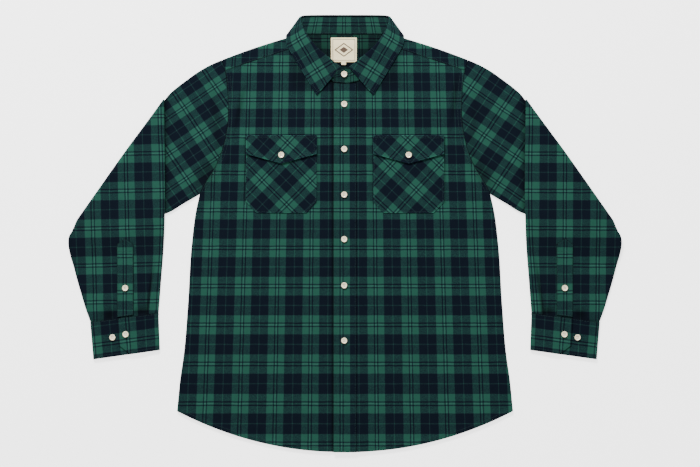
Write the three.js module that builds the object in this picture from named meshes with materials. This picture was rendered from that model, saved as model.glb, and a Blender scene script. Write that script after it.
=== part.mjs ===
// A flannel shirt laid flat on its back, sleeves folded at the elbow. Millimetres, +Z up, +Y to the collar.
// The origin is the middle of the outline on the resting plane. Left and right are the wearer's, and the
// wearer's left is at +X. Every piece is worked out on the +X side first, where x is the distance from the
// centre line, and mirrored where it has a twin.
import * as THREE from "three";

// Cloth walls and the spaces between layers
const CLOTH = 1.2;
const COLLAR_CLOTH = 1.6;
const CUFF_CLOTH = 1.8;
const SEAM_GAP = 0.3;
const LAY_GAP = 0.4;

// The body and sleeves are flattened tubes of this height, with round folds at their sides
const TUBE_HEIGHT = 5.2;
const SIDE_ROLL = TUBE_HEIGHT / 2;

// Body outline: half width by height on the shirt
const HEM_CORNER_Y = -346;
const HEM_CENTRE_Y = -426;
const HEM_CURVE_POWER = 2.1;
const ARMPIT_Y = 76;
const SHOULDER_TIP_Y = 338.5;
const FRONT_SEAM_END_Y = 318;
const BACK_SEAM_Y = 290;
const SIDE = [
  { y: HEM_CORNER_Y, x: 327.6 },
  { y: -286, x: 321.8 },
  { y: -227, x: 314 },
  { y: -130, x: 306.2 },
  { y: -13, x: 298.4 },
  { y: 46, x: 290.5 },
  { y: ARMPIT_Y, x: 283.5 },
];
const ARMHOLE = [
  { y: ARMPIT_Y, x: 283.5 },
  { y: 84, x: 279.8 },
  { y: 94, x: 274.6 },
  { y: 108, x: 266 },
  { y: 126, x: 254.6 },
  { y: 150, x: 243.5 },
  { y: 180, x: 234.3 },
  { y: 212, x: 228.7 },
  { y: 250, x: 227.2 },
  { y: BACK_SEAM_Y, x: 229.4 },
  { y: FRONT_SEAM_END_Y, x: 233.4 },
  { y: SHOULDER_TIP_Y, x: 240 },
];

// Neck: the seam of the stand on the fronts and on the yoke, and where both meet the shoulder
const FRONT_NECK = [
  { x: 0, y: 291.5 },
  { x: 22, y: 294 },
  { x: 38, y: 302 },
  { x: 54, y: 313.5 },
  { x: 70, y: 327 },
  { x: 84, y: 340 },
  { x: 94, y: 351 },
  { x: 100, y: 362 },
];
const BACK_NECK_Y = 387.5;
const NECK_SHOULDER = { x: 103.4, y: 384 };

// The fronts overlap at the centre, and the left one is on top
const FRONT_OVERLAP = 20;
const OVERLAP_LIFT = 1.6;
const LIFT_FROM = 24;
const LIFT_TO = 52;
const PLACKET_WIDTH = 44.5;

// The yoke lies over the back part of the collar leaf, so it is raised round the neck
const YOKE_RAISE = 2.8;
const YOKE_RAISE_FROM_Y = 342;
const YOKE_RAISE_TO_Y = 372;
const FRONT_NECK_RAISE = 1.5;
const FRONT_NECK_RAISE_REACH = 42;

// Soft folds of the laid cloth on the fronts: middle, direction in degrees, half length, half width, height
const DRAPE = [
  { x: 215, y: 40, turn: 38, length: 80, width: 30, height: 1.0 },
  { x: 120, y: -120, turn: 84, length: 150, width: 36, height: 0.9 },
  { x: 255, y: -190, turn: 98, length: 120, width: 30, height: 0.9 },
  { x: 60, y: -290, turn: 86, length: 110, width: 34, height: 0.8 },
];

// Sleeve, from the armhole to the elbow fold: the ends of each section across the flat sleeve.
// follow is how much of the armhole's curve the section keeps.
const UPPER_SLEEVE = [
  { topX: 262, topY: 328.5, underX: 298, underY: 69.5, follow: 0.85 },
  { topX: 285, topY: 315.5, underX: 317, underY: 60, follow: 0.6 },
  { topX: 307, topY: 300, underX: 343, underY: 41, follow: 0.35 },
  { topX: 325, topY: 285.8, underX: 395, underY: 26, follow: 0.12 },
  { topX: 339, topY: 272, underX: 463, underY: 13, follow: 0 },
];
const ELBOW = { topX: 349.5, topY: 258, underX: 531, underY: 4.6 };
const ELBOW_AXIS_Z = TUBE_HEIGHT + 0.5;

// The forearm lies over the upper arm and then down beside it
const FOREARM = [
  { topX: 350.3, topY: 225, underX: 535.5, underY: -5 },
  { topX: 350.5, topY: 180, underX: 539, underY: -18 },
  { topX: 350, topY: 120, underX: 536.4, underY: -38 },
  { topX: 350.3, topY: 50, underX: 528.6, underY: -67 },
  { topX: 351.6, topY: 8, underX: 522.6, underY: -90 },
  { topX: 354, topY: -34, underX: 515.6, underY: -114 },
  { topX: 358.4, topY: -90, underX: 506, underY: -146 },
  { topX: 363.3, topY: -154.2, underX: 496.6, underY: -171.8 },
];
const SETTLE_LENGTH = 72;
const SETTLE_DROP = 2 * ELBOW_AXIS_Z - TUBE_HEIGHT;

// One tuck in the sleeve above the cuff
const TUCK = { x: 383, y: -154, turn: 102, length: 62, width: 9, height: 1.3 };

// Cuff corners on the flat, with the buttoned end lapped over the other one
const CUFF_TOP_INNER = { x: 363.5, y: -155.2 };
const CUFF_TOP_OUTER = { x: 496.9, y: -172.8 };
const CUFF_LOW_INNER = { x: 360.9, y: -227 };
const CUFF_LOW_OUTER = { x: 490.8, y: -245.2 };
const CUFF_HEIGHT = 6.4;
const CUFF_LAP_RISE = 2.2;
const CUFF_LAP_END = 0.6;
const CUFF_UNDER_END = 0.42;
const CUFF_CORNER_CUT = 0.16;

// Sleeve placket: a pointed strip
const GAUNTLET = { left: 412.2, right: 443.6, lowY: -158.6, shoulderY: -20.9, pointY: -9.6, tip: 4 };
const GAUNTLET_STEPS = 12;
const GAUNTLET_GAP = 0.7;

// Chest pocket and flap
const POCKET_X = 124;
const POCKET = { halfWidth: 68.3, topY: 187, lowY: 40.2, chamferX: 19.6, chamferY: 21.2 };
const FLAP = { halfWidth: 68.8, topY: 191.1, sideY: 155, pointY: 136.3 };

// Collar: a row for each station from the front end of the leaf to the middle of the back. neck is the seam
// on the body, roll the middle of the turn, edge the free edge of the leaf. turn is the way that the leaf
// lies from the stand, 0 above it and 180 below it. lap is the share of the front overlap's lift.
const COLLAR = [
  { neckX: 8, neckY: 293.4, neckZ: 4, rollX: 9, rollY: 322.5, rollZ: 8.6, radius: 2.2,
    edgeX: 55, edgeY: 269.5, edgeZ: 7.5, turn: 0, lap: 1 },
  { neckX: 29.5, neckY: 299, neckZ: 4, rollX: 26.5, rollY: 336, rollZ: 9.8, radius: 2.6,
    edgeX: 67.5, edgeY: 290, edgeZ: 7.6, turn: 0, lap: 0.6 },
  { neckX: 53.3, neckY: 315, neckZ: 4, rollX: 47, rollY: 352.5, rollZ: 10.4, radius: 3,
    edgeX: 82, edgeY: 313.5, edgeZ: 7.7, turn: 0, lap: 0.15 },
  { neckX: 76, neckY: 334.6, neckZ: 4.2, rollX: 62.6, rollY: 367.5, rollZ: 10.6, radius: 3,
    edgeX: 96, edgeY: 337, edgeZ: 8, turn: 0, lap: 0 },
  { neckX: 91, neckY: 350.3, neckZ: 4.7, rollX: 75.5, rollY: 385, rollZ: 10.4, radius: 3,
    edgeX: 107.5, edgeY: 356.3, edgeZ: 8.8, turn: 0, lap: 0 },
  { neckX: 98.2, neckY: 362.4, neckZ: 5, rollX: 83.6, rollY: 402, rollZ: 9.2, radius: 2.8,
    edgeX: 112.8, edgeY: 367, edgeZ: 9, turn: 16, lap: 0 },
  { neckX: 100.4, neckY: 374, neckZ: 5.4, rollX: 87, rollY: 413.5, rollZ: 7.2, radius: 2.5,
    edgeX: 114.8, edgeY: 377, edgeZ: 9.3, turn: 50, lap: 0 },
  { neckX: 101, neckY: 383, neckZ: 6, rollX: 88, rollY: 419.5, rollZ: 4.8, radius: 2.2,
    edgeX: 114.4, edgeY: 387, edgeZ: 4.6, turn: 96, lap: 0 },
  { neckX: 96, neckY: 388.2, neckZ: 4, rollX: 83.5, rollY: 423, rollZ: 2.9, radius: 2.2,
    edgeX: 107, edgeY: 381.5, edgeZ: 0.7, turn: 150, lap: 0 },
  { neckX: 80, neckY: 388.4, neckZ: 4, rollX: 70, rollY: 424, rollZ: 2.2, radius: 2.2,
    edgeX: 84, edgeY: 377.5, edgeZ: 0, turn: 180, lap: 0 },
  { neckX: 42, neckY: 388.4, neckZ: 4, rollX: 38, rollY: 424.2, rollZ: 2.2, radius: 2.2,
    edgeX: 44, edgeY: 376, edgeZ: 0, turn: 180, lap: 0 },
  { neckX: 0, neckY: 388.4, neckZ: 4, rollX: 0, rollY: 424.2, rollZ: 2.2, radius: 2.2,
    edgeX: 0, edgeY: 375.5, edgeZ: 0, turn: 180, lap: 0 },
];
const COLLAR_LAP = 2.2;
// The stand ends a little below the turn
const STAND_SHARE = 0.93;
// The ends of the stand run past the leaf: the lower and upper edge of each section, outwards
const STAND_END = [
  { x: -22, lowY: 295.4, highY: 300, rise: 2.0 },
  { x: -19, lowY: 294.8, highY: 308, rise: 2.9 },
  { x: -12, lowY: 293.9, highY: 316, rise: 3.6 },
  { x: -2, lowY: 293, highY: 320.5, rise: 4 },
];

// Label on the inside of the yoke, with a size tab under its lower edge
const LABEL = { x: -2.2, y: 358, width: 50, height: 47, thickness: 1 };
const SIZE_TAB = { x: -2.6, y: 331.6, width: 9, height: 5 };

// Buttons
const BUTTON_RADIUS = 6.3;
const BUTTON_HEIGHT = 3;
const BUTTON_SEGMENTS = 14;
const FRONT_BUTTON_X = -1.5;
const STAND_BUTTON_Y = 310;
const STAND_BUTTON_GAP = 0.5;
const FRONT_BUTTON_YS = [252, 164.4, 75.6, -11.1, -101, -208.4];
const POCKET_BUTTON_Y = 153;
const GAUNTLET_BUTTON = { x: 428, y: -106.2 };
const CUFF_BUTTONS = [
  { x: 427, y: -196.2 },
  { x: 452.9, y: -202.3 },
];

const FABRIC_GREEN = 0x1f5c4a;
const FABRIC_NAVY = 0x14202e;
const FABRIC_MIX = 0x1b3d3d;
const LABEL_CREAM = 0xe8dfc8;
const BUTTON_CREAM = 0xf0ead9;

const shirt = new THREE.Group();
shirt.name = "flannel_shirt";

function point(x, y, z) {
  return new THREE.Vector3(x, y, z);
}

function clamp01(t) {
  return Math.min(1, Math.max(0, t));
}

function smooth(t) {
  const s = clamp01(t);
  return s * s * (3 - 2 * s);
}

// Value at k along a table's rows, on straight lines between them.
function readTable(rows, key, value, k) {
  const falling = rows[0][key] > rows[rows.length - 1][key];
  const ordered = falling ? [...rows].reverse() : rows;
  let i = 0;
  while (i < ordered.length - 2 && k > ordered[i + 1][key]) i++;
  const t = (k - ordered[i][key]) / (ordered[i + 1][key] - ordered[i][key]);
  return ordered[i][value] + (ordered[i + 1][value] - ordered[i][value]) * t;
}

// A closed wall of cloth from grids of points on its outer face. A grid's rows run up when its columns run
// right, seen from outside. Grids that share points are joined there. The wall grows inwards by thickness.
function clothWall(grids, thickness) {
  const outer = [];
  const seen = new Map();
  const triangles = [];
  function vertexOf(p) {
    const key = [p.x, p.y, p.z].map((v) => Math.round(v * 500)).join(",");
    if (!seen.has(key)) {
      seen.set(key, outer.length);
      outer.push(p);
    }
    return seen.get(key);
  }
  function addTriangle(a, b, c) {
    if (a !== b && b !== c && c !== a) triangles.push([a, b, c]);
  }
  for (const grid of grids) {
    for (let r = 0; r + 1 < grid.length; r++) {
      for (let c = 0; c + 1 < grid[r].length; c++) {
        const low = vertexOf(grid[r][c]);
        const lowNext = vertexOf(grid[r][c + 1]);
        const high = vertexOf(grid[r + 1][c]);
        const highNext = vertexOf(grid[r + 1][c + 1]);
        addTriangle(low, lowNext, highNext);
        addTriangle(low, highNext, high);
      }
    }
  }
  const normals = outer.map(() => point(0, 0, 0));
  const edges = new Map();
  for (const [a, b, c] of triangles) {
    const ab = outer[b].clone().sub(outer[a]);
    const ac = outer[c].clone().sub(outer[a]);
    const normal = ab.cross(ac);
    for (const i of [a, b, c]) normals[i].add(normal);
    for (const [from, to] of [[a, b], [b, c], [c, a]]) edges.set(from + "," + to, [from, to]);
  }
  const inner = outer.map((p, i) => p.clone().addScaledVector(normals[i].normalize(), -thickness));
  const count = outer.length;
  const index = [];
  for (const [a, b, c] of triangles) {
    index.push(a, b, c);
    index.push(count + a, count + c, count + b);
  }
  for (const [from, to] of edges.values()) {
    if (edges.has(to + "," + from)) continue;
    index.push(to, from, count + from);
    index.push(to, count + from, count + to);
  }
  const geometry = new THREE.BufferGeometry();
  geometry.setFromPoints([...outer, ...inner]);
  geometry.setIndex(index);
  geometry.computeVertexNormals();
  return geometry;
}

function mirrored(grid) {
  return grid.map((row) => row.map((p) => point(-p.x, p.y, p.z)).reverse());
}

function lifted(grid, height) {
  return grid.map((row) => row.map((p) => point(p.x, p.y, p.z + height)));
}

function addPiece(name, geometry, color, roughness = 0.95) {
  const material = new THREE.MeshStandardMaterial({ color, roughness, metalness: 0 });
  const mesh = new THREE.Mesh(geometry, material);
  mesh.name = name;
  shirt.add(mesh);
  return mesh;
}

// Height of a soft ridge at a place.
function ridge(row, x, y) {
  const angle = THREE.MathUtils.degToRad(row.turn);
  const dx = x - row.x;
  const dy = y - row.y;
  const along = (dx * Math.cos(angle) + dy * Math.sin(angle)) / row.length;
  const across = (-dx * Math.sin(angle) + dy * Math.cos(angle)) / row.width;
  return row.height * Math.exp(-along * along - across * across);
}

function nearShoulder(x, y) {
  const distance = Math.hypot(x - NECK_SHOULDER.x, y - NECK_SHOULDER.y) / FRONT_NECK_RAISE_REACH;
  return Math.exp(-distance * distance);
}

// Top face of the under front, without the overlap's lift.
function frontHeight(x, y) {
  let z = TUBE_HEIGHT + FRONT_NECK_RAISE * nearShoulder(x, y);
  const edgeX = y < ARMPIT_Y ? readTable(SIDE, "y", "x", y) : readTable(ARMHOLE, "y", "x", y);
  const inside = smooth((edgeX - Math.abs(x)) / 40);
  for (const fold of DRAPE) z += ridge(fold, Math.abs(x), y) * inside;
  return z;
}

function overlapLift(x) {
  return OVERLAP_LIFT * (1 - smooth((x - LIFT_FROM) / (LIFT_TO - LIFT_FROM)));
}

// Under face of the back and yoke.
function backHeight(x, y) {
  const up = smooth((y - YOKE_RAISE_FROM_Y) / (YOKE_RAISE_TO_Y - YOKE_RAISE_FROM_Y));
  const beside = 1 - smooth((Math.abs(x) - 118) / 40);
  return YOKE_RAISE * up * beside;
}

function hemY(x) {
  const share = Math.abs(x) / SIDE[0].x;
  return HEM_CENTRE_Y + (HEM_CORNER_Y - HEM_CENTRE_Y) * share ** HEM_CURVE_POWER;
}

// The front yoke seam is a straight line from the neck to the armhole.
function frontTopY(x) {
  const neckEnd = FRONT_NECK[FRONT_NECK.length - 1];
  if (Math.abs(x) <= neckEnd.x) return readTable(FRONT_NECK, "x", "y", Math.abs(x));
  const end = readTable(ARMHOLE, "y", "x", FRONT_SEAM_END_Y);
  return neckEnd.y + ((FRONT_SEAM_END_Y - neckEnd.y) * (x - neckEnd.x)) / (end - neckEnd.x);
}

function shoulderY(x) {
  const share = (x - NECK_SHOULDER.x) / (ARMHOLE[ARMHOLE.length - 1].x - NECK_SHOULDER.x);
  const bow = 2.2 * Math.sin(Math.PI * clamp01(share));
  return NECK_SHOULDER.y + (SHOULDER_TIP_Y - NECK_SHOULDER.y) * share + bow;
}

// Body panels share their rows: straight ones above a curved hem, then ones that close up to the top line.
const LOW_ROWS = [
  { y: HEM_CORNER_Y, hem: 1 },
  { y: -300, hem: 0.6 },
  { y: -240, hem: 0.28 },
  { y: -180, hem: 0.08 },
  { y: -110, hem: 0 },
  { y: -50, hem: 0 },
  { y: 10, hem: 0 },
  { y: 50, hem: 0 },
];
const FRONT_SHARES = [0.17, 0.36, 0.58, 0.82, 1];
const BACK_SHARES = [0.34, 0.68, 1];
const ROLL_ANGLES = [30, 58, 76];

// Rows of points of a body panel from its hem to its top line. columns gives the fixed places near the
// centre and shares those from there to the side, topLine the top edge by x, height the outer face, and
// rollSign whether its side rolls up or down.
function panelGrid({ columns, shares, hemDrop, topEndY, topLine, height, rollSign }) {
  const rows = [];
  const inner = columns[columns.length - 1];
  function rowAt(edgeX, rollShare, yOf) {
    const row = [];
    const xs = [...columns, ...shares.map((f) => inner + (edgeX - SIDE_ROLL - inner) * f)];
    for (const x of xs) {
      const y = yOf(x, edgeX);
      row.push(point(x, y, height(x, y)));
    }
    for (const degrees of ROLL_ANGLES) {
      const angle = THREE.MathUtils.degToRad(degrees);
      const x = edgeX - SIDE_ROLL + SIDE_ROLL * Math.sin(angle);
      const y = yOf(x, edgeX);
      const turned = rollShare * SIDE_ROLL * (1 - Math.cos(angle));
      row.push(point(x, y, height(x, y) + rollSign * turned));
    }
    rows.push(row);
  }
  for (const low of LOW_ROWS) {
    const edgeX = readTable(SIDE, "y", "x", low.y);
    rowAt(edgeX, 1, (x) => low.y + low.hem * (hemY(x) + hemDrop - HEM_CORNER_Y));
  }
  const armholeRows = ARMHOLE.filter((place) => place.y <= topEndY);
  const endX = armholeRows[armholeRows.length - 1].x;
  for (const place of armholeRows) {
    const share = (place.y - ARMPIT_Y) / (topEndY - ARMPIT_Y);
    rowAt(place.x, place === armholeRows[0] ? 1 : 0, (x, edgeX) => {
      const topX = x <= inner ? x : inner + ((x - inner) * (endX - inner)) / (edgeX - inner);
      return ARMPIT_Y + (topLine(topX) - ARMPIT_Y) * share;
    });
  }
  return rows;
}

// Front, worked out on the +X side. under says whether it is the one that runs below.
function frontGrid(under) {
  return panelGrid({
    columns: [-FRONT_OVERLAP, 0, 22, 38, 54, 70, 84],
    shares: FRONT_SHARES,
    hemDrop: 0,
    topEndY: FRONT_SEAM_END_Y,
    topLine: (x) => frontTopY(x),
    height: (x, y) => frontHeight(x, y) + (under ? 0 : overlapLift(x)),
    rollSign: -1,
  });
}
const frontLeft = frontGrid(false);
const frontRight = mirrored(frontGrid(true));
addPiece("front_left", clothWall([frontLeft], CLOTH), FABRIC_GREEN);
addPiece("front_right", clothWall([frontRight], CLOTH), FABRIC_MIX);

// Back: both halves in one grid, with its outer face down.
const backHalf = panelGrid({
  columns: [0, 100],
  shares: BACK_SHARES,
  hemDrop: 1.5,
  topEndY: BACK_SEAM_Y,
  topLine: () => BACK_SEAM_Y - SEAM_GAP / 2,
  height: (x, y) => backHeight(x, y),
  rollSign: 1,
});
const backGrid = backHalf.map((row) => {
  const other = row.slice(1).map((p) => point(-p.x, p.y, p.z));
  return [...row.slice().reverse(), ...other];
});
addPiece("back", clothWall([backGrid], CLOTH), FABRIC_MIX);

// Yoke: a back part below, and a strip on each side that turns over the shoulder to the front seam.
const YOKE_COLUMNS = [NECK_SHOULDER.x, 118, 136, 160, 186, 213, 239];
const YOKE_NECK_COLUMNS = [0, 26, 52, 78];
const SHOULDER_ANGLES = [45, 90, 135, 180];
function yokeStripPoint(column, y) {
  const top = YOKE_COLUMNS[YOKE_COLUMNS.length - 1];
  const edge = readTable(ARMHOLE, "y", "x", y);
  const share = (column - NECK_SHOULDER.x) / (top - NECK_SHOULDER.x);
  return NECK_SHOULDER.x + (edge - NECK_SHOULDER.x) * share;
}
function shoulderRoll(x) {
  const y = shoulderY(x);
  return (frontHeight(x, y) - backHeight(x, y)) / 2;
}
const yokeBack = [];
for (const level of [BACK_SEAM_Y + SEAM_GAP / 2, 304, FRONT_SEAM_END_Y, SHOULDER_TIP_Y]) {
  const share = (level - BACK_SEAM_Y) / (SHOULDER_TIP_Y - BACK_SEAM_Y);
  const half = [];
  for (const column of YOKE_NECK_COLUMNS) {
    const y = level === SHOULDER_TIP_Y ? BACK_NECK_Y : BACK_SEAM_Y + (BACK_NECK_Y - BACK_SEAM_Y) * share;
    half.push(point(column, y, backHeight(column, y)));
  }
  for (const column of YOKE_COLUMNS) {
    const topY = shoulderY(column) - shoulderRoll(column);
    const y = Math.max(BACK_SEAM_Y + SEAM_GAP / 2, BACK_SEAM_Y + (topY - BACK_SEAM_Y) * share);
    const x = level === SHOULDER_TIP_Y ? column : yokeStripPoint(column, y);
    half.push(point(x, y, backHeight(x, y)));
  }
  yokeBack.push([...half.slice().reverse(), ...half.slice(1).map((p) => point(-p.x, p.y, p.z))]);
}
// More rows where the yoke climbs over the leaf
const yokeRows = [];
for (let i = 0; i + 1 < yokeBack.length; i++) {
  yokeRows.push(yokeBack[i]);
  const steps = i === yokeBack.length - 2 ? 3 : 2;
  for (let s = 1; s < steps; s++) {
    yokeRows.push(yokeBack[i].map((p, c) => {
      const between = p.clone().lerp(yokeBack[i + 1][c], s / steps);
      return point(between.x, between.y, backHeight(between.x, between.y));
    }));
  }
}
yokeRows.push(yokeBack[yokeBack.length - 1]);
const shoulderRow = yokeRows[yokeRows.length - 1];
const yokeStrip = [];
yokeStrip.push(YOKE_COLUMNS.map((column, i) => shoulderRow[YOKE_COLUMNS.length - 1 - i].clone()));
for (const degrees of SHOULDER_ANGLES) {
  const angle = THREE.MathUtils.degToRad(degrees);
  yokeStrip.push(YOKE_COLUMNS.map((column) => {
    const radius = shoulderRoll(column);
    const middle = shoulderY(column) - radius;
    const bottom = backHeight(column, shoulderY(column));
    return point(column, middle + radius * Math.sin(angle), bottom + radius * (1 - Math.cos(angle)));
  }));
}
for (const share of [0.5, 1]) {
  yokeStrip.push(YOKE_COLUMNS.map((column) => {
    const radius = shoulderRoll(column);
    const from = shoulderY(column) - radius;
    const endX = yokeStripPoint(column, FRONT_SEAM_END_Y);
    const x = column + (endX - column) * share;
    const y = from + (frontTopY(endX) + SEAM_GAP - from) * share;
    return point(x, y, frontHeight(x, y));
  }));
}
const yokeStripOut = yokeStrip.map((row) => row.slice().reverse());
const yokeStripOther = mirrored(yokeStripOut);
addPiece("yoke", clothWall([yokeRows, yokeStripOut, yokeStripOther], CLOTH), FABRIC_GREEN);

// Sleeve: rings round a flattened tube, bent over at the elbow. Each ring is a closed loop of points.
const SLEEVE_GAP = 0.4;
const armholeLine = ARMHOLE.slice().reverse();
function armholePoint(i) {
  const before = armholeLine[Math.max(0, i - 1)];
  const after = armholeLine[Math.min(armholeLine.length - 1, i + 1)];
  const along = new THREE.Vector2(after.x - before.x, after.y - before.y).normalize();
  const place = new THREE.Vector2(armholeLine[i].x, armholeLine[i].y);
  if (i === 0) place.addScaledVector(along, SIDE_ROLL);
  if (i === armholeLine.length - 1) place.addScaledVector(along, -SIDE_ROLL);
  return place.add(new THREE.Vector2(-along.y, along.x).multiplyScalar(SLEEVE_GAP));
}
const armholePoints = armholeLine.map((_, i) => armholePoint(i));
const ringShares = armholePoints.map((p) => {
  const first = armholePoints[0];
  const last = armholePoints[armholePoints.length - 1];
  const chord = last.clone().sub(first);
  return clamp01(p.clone().sub(first).dot(chord) / chord.lengthSq());
});
const armholeBow = armholePoints.map((p, i) => {
  const first = armholePoints[0];
  const last = armholePoints[armholePoints.length - 1];
  return p.clone().sub(first.clone().lerp(last, ringShares[i]));
});
const EDGE_ANGLES = [60, 120];

// A ring as places on the flat and heights in the tube: along the top face, round the underarm fold, back
// along the under face and round the other fold.
function sectionMiddles(section, follow) {
  const top = new THREE.Vector2(section.topX, section.topY);
  const under = new THREE.Vector2(section.underX, section.underY);
  const along = under.clone().sub(top).normalize();
  const from = top.clone().addScaledVector(along, SIDE_ROLL);
  const to = under.clone().addScaledVector(along, -SIDE_ROLL);
  return ringShares.map((share, i) => {
    return from.clone().lerp(to, share).addScaledVector(armholeBow[i], follow);
  });
}
function ringPlaces(middles) {
  const count = middles.length;
  const upAlong = middles[0].clone().sub(middles[1]).normalize();
  const downAlong = middles[count - 1].clone().sub(middles[count - 2]).normalize();
  const places = middles.map((flat) => ({ flat, height: TUBE_HEIGHT }));
  for (const degrees of EDGE_ANGLES) {
    const angle = THREE.MathUtils.degToRad(degrees);
    const flat = middles[count - 1].clone().addScaledVector(downAlong, SIDE_ROLL * Math.sin(angle));
    places.push({ flat, height: SIDE_ROLL * (1 + Math.cos(angle)) });
  }
  for (const flat of middles.slice().reverse()) places.push({ flat, height: 0 });
  for (const degrees of EDGE_ANGLES.slice().reverse()) {
    const angle = THREE.MathUtils.degToRad(degrees);
    const flat = middles[0].clone().addScaledVector(upAlong, SIDE_ROLL * Math.sin(angle));
    places.push({ flat, height: SIDE_ROLL * (1 + Math.cos(angle)) });
  }
  places.push(places[0]);
  return places;
}
const underarmLine = [
  ...UPPER_SLEEVE.map((row) => ({ x: row.underX, y: row.underY })),
  { x: ELBOW.underX, y: ELBOW.underY },
  { x: 560, y: -4 },
];

// How far the forearm has come down where it has passed the upper arm.
function settled(flat) {
  const edge = readTable(underarmLine, "x", "y", Math.max(flat.x, underarmLine[0].x));
  return SETTLE_DROP * smooth((edge - 3 - flat.y) / SETTLE_LENGTH);
}
const elbowOut = new THREE.Vector2(ELBOW.topY - ELBOW.underY, ELBOW.underX - ELBOW.topX).normalize();
const sleeveRings = [];
function addFlatRing(middles) {
  sleeveRings.push(ringPlaces(middles).map(({ flat, height }) => point(flat.x, flat.y, height)));
}
addFlatRing(armholePoints);
for (const row of UPPER_SLEEVE) addFlatRing(sectionMiddles(row, row.follow));
for (const degrees of [0, 45, 90, 135, 180]) {
  const angle = THREE.MathUtils.degToRad(degrees);
  sleeveRings.push(ringPlaces(sectionMiddles(ELBOW, 0)).map(({ flat, height }) => {
    const radius = ELBOW_AXIS_Z - height;
    const out = elbowOut.clone().multiplyScalar(radius * Math.sin(angle)).add(flat);
    return point(out.x, out.y, ELBOW_AXIS_Z - radius * Math.cos(angle));
  }));
}
for (const row of FOREARM) {
  sleeveRings.push(ringPlaces(sectionMiddles(row, 0)).map(({ flat, height }) => {
    const shown = height < SIDE_ROLL;
    const tuck = shown ? ridge(TUCK, flat.x, flat.y) : 0;
    return point(flat.x, flat.y, 2 * ELBOW_AXIS_Z - height - settled(flat) + tuck);
  }));
}
const sleeveLeft = sleeveRings;
const sleeveRight = mirrored(sleeveLeft);
addPiece("sleeve_left", clothWall([sleeveLeft], CLOTH), FABRIC_MIX);
addPiece("sleeve_right", clothWall([sleeveRight], CLOTH), FABRIC_MIX);

// Height of the highest face of a grid over a place.
function heightOn(grid, x, y) {
  let best = -Infinity;
  function tryTriangle(a, b, c) {
    const area = (b.x - a.x) * (c.y - a.y) - (c.x - a.x) * (b.y - a.y);
    if (Math.abs(area) < 1e-9) return;
    const u = ((x - a.x) * (c.y - a.y) - (c.x - a.x) * (y - a.y)) / area;
    const v = ((b.x - a.x) * (y - a.y) - (x - a.x) * (b.y - a.y)) / area;
    if (u < -1e-6 || v < -1e-6 || u + v > 1 + 1e-6) return;
    best = Math.max(best, a.z + u * (b.z - a.z) + v * (c.z - a.z));
  }
  for (let r = 0; r + 1 < grid.length; r++) {
    for (let c = 0; c + 1 < grid[r].length; c++) {
      tryTriangle(grid[r][c], grid[r][c + 1], grid[r + 1][c + 1]);
      tryTriangle(grid[r][c], grid[r + 1][c + 1], grid[r + 1][c]);
    }
  }
  return best;
}

// A patch that lies on another piece's points: rows of places, raised by the gap and its own cloth.
function laidPatch(onGrid, rows, thickness, gap) {
  return rows.map((row) => row.map(([x, y]) => point(x, y, heightOn(onGrid, x, y) + gap + thickness)));
}

// Placket down the left front, with the front's own rows.
const placketRows = frontLeft.map((row) => {
  return [-1, -0.34, 0.34, 1].map((side) => {
    const x = side * (PLACKET_WIDTH / 2);
    const within = Math.max(x, -FRONT_OVERLAP);
    const after = row.findIndex((p) => p.x >= within);
    const b = row[Math.max(1, after)];
    const a = row[Math.max(1, after) - 1];
    const t = (within - a.x) / (b.x - a.x);
    return point(x, a.y + (b.y - a.y) * t, a.z + (b.z - a.z) * t + LAY_GAP + CLOTH);
  });
});
addPiece("placket", clothWall([placketRows], CLOTH), FABRIC_GREEN);

// Chest pockets and flaps
function pocketRows(middle) {
  const rows = [];
  const { halfWidth, topY, lowY, chamferX, chamferY } = POCKET;
  for (const y of [lowY, lowY + chamferY, 90, 120, 150, topY]) {
    const half = y === lowY ? halfWidth - chamferX : halfWidth;
    rows.push([-1, -0.6, -0.2, 0.2, 0.6, 1].map((side) => [middle + side * half, y]));
  }
  return rows;
}
function flapRows(middle) {
  const { halfWidth, topY, sideY, pointY } = FLAP;
  const sides = [-1, -0.66, -0.33, 0, 0.33, 0.66, 1];
  return [0, 0.5, 1].map((share) => {
    return sides.map((side) => {
      const low = pointY + (sideY - pointY) * Math.abs(side);
      return [middle + side * halfWidth, low + (topY - low) * share];
    });
  });
}
const pocketLift = LAY_GAP + CLOTH;
for (const [suffix, sign, front] of [["left", 1, frontLeft], ["right", -1, frontRight]]) {
  const pocket = laidPatch(front, pocketRows(sign * POCKET_X), CLOTH, LAY_GAP);
  const flap = laidPatch(front, flapRows(sign * POCKET_X), CLOTH, LAY_GAP + pocketLift);
  addPiece("pocket_" + suffix, clothWall([pocket], CLOTH), FABRIC_NAVY);
  addPiece("pocket_flap_" + suffix, clothWall([flap], CLOTH), FABRIC_GREEN);
}

// Sleeve plackets
const gauntletLevels = [];
for (let i = 0; i <= GAUNTLET_STEPS; i++) {
  gauntletLevels.push(GAUNTLET.lowY + ((GAUNTLET.shoulderY - GAUNTLET.lowY) * i) / GAUNTLET_STEPS);
}
function gauntletRows() {
  const { left, right, lowY, pointY, tip } = GAUNTLET;
  const middle = (left + right) / 2;
  const cuffSlope = (CUFF_TOP_OUTER.y - CUFF_TOP_INNER.y) / (CUFF_TOP_OUTER.x - CUFF_TOP_INNER.x);
  const rows = gauntletLevels.map((level) => {
    const low = 1 - smooth((level - lowY) / 40);
    return [left, middle, right].map((x) => [x, level + cuffSlope * (x - left) * low]);
  });
  rows.push([[middle - tip, pointY], [middle, pointY], [middle + tip, pointY]]);
  return rows;
}
const gauntletGrid = laidPatch(sleeveLeft, gauntletRows(), CLOTH, GAUNTLET_GAP);
addPiece("sleeve_placket_left", clothWall([gauntletGrid], CLOTH), FABRIC_GREEN);
addPiece("sleeve_placket_right", clothWall([mirrored(gauntletGrid)], CLOTH), FABRIC_GREEN);

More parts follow.
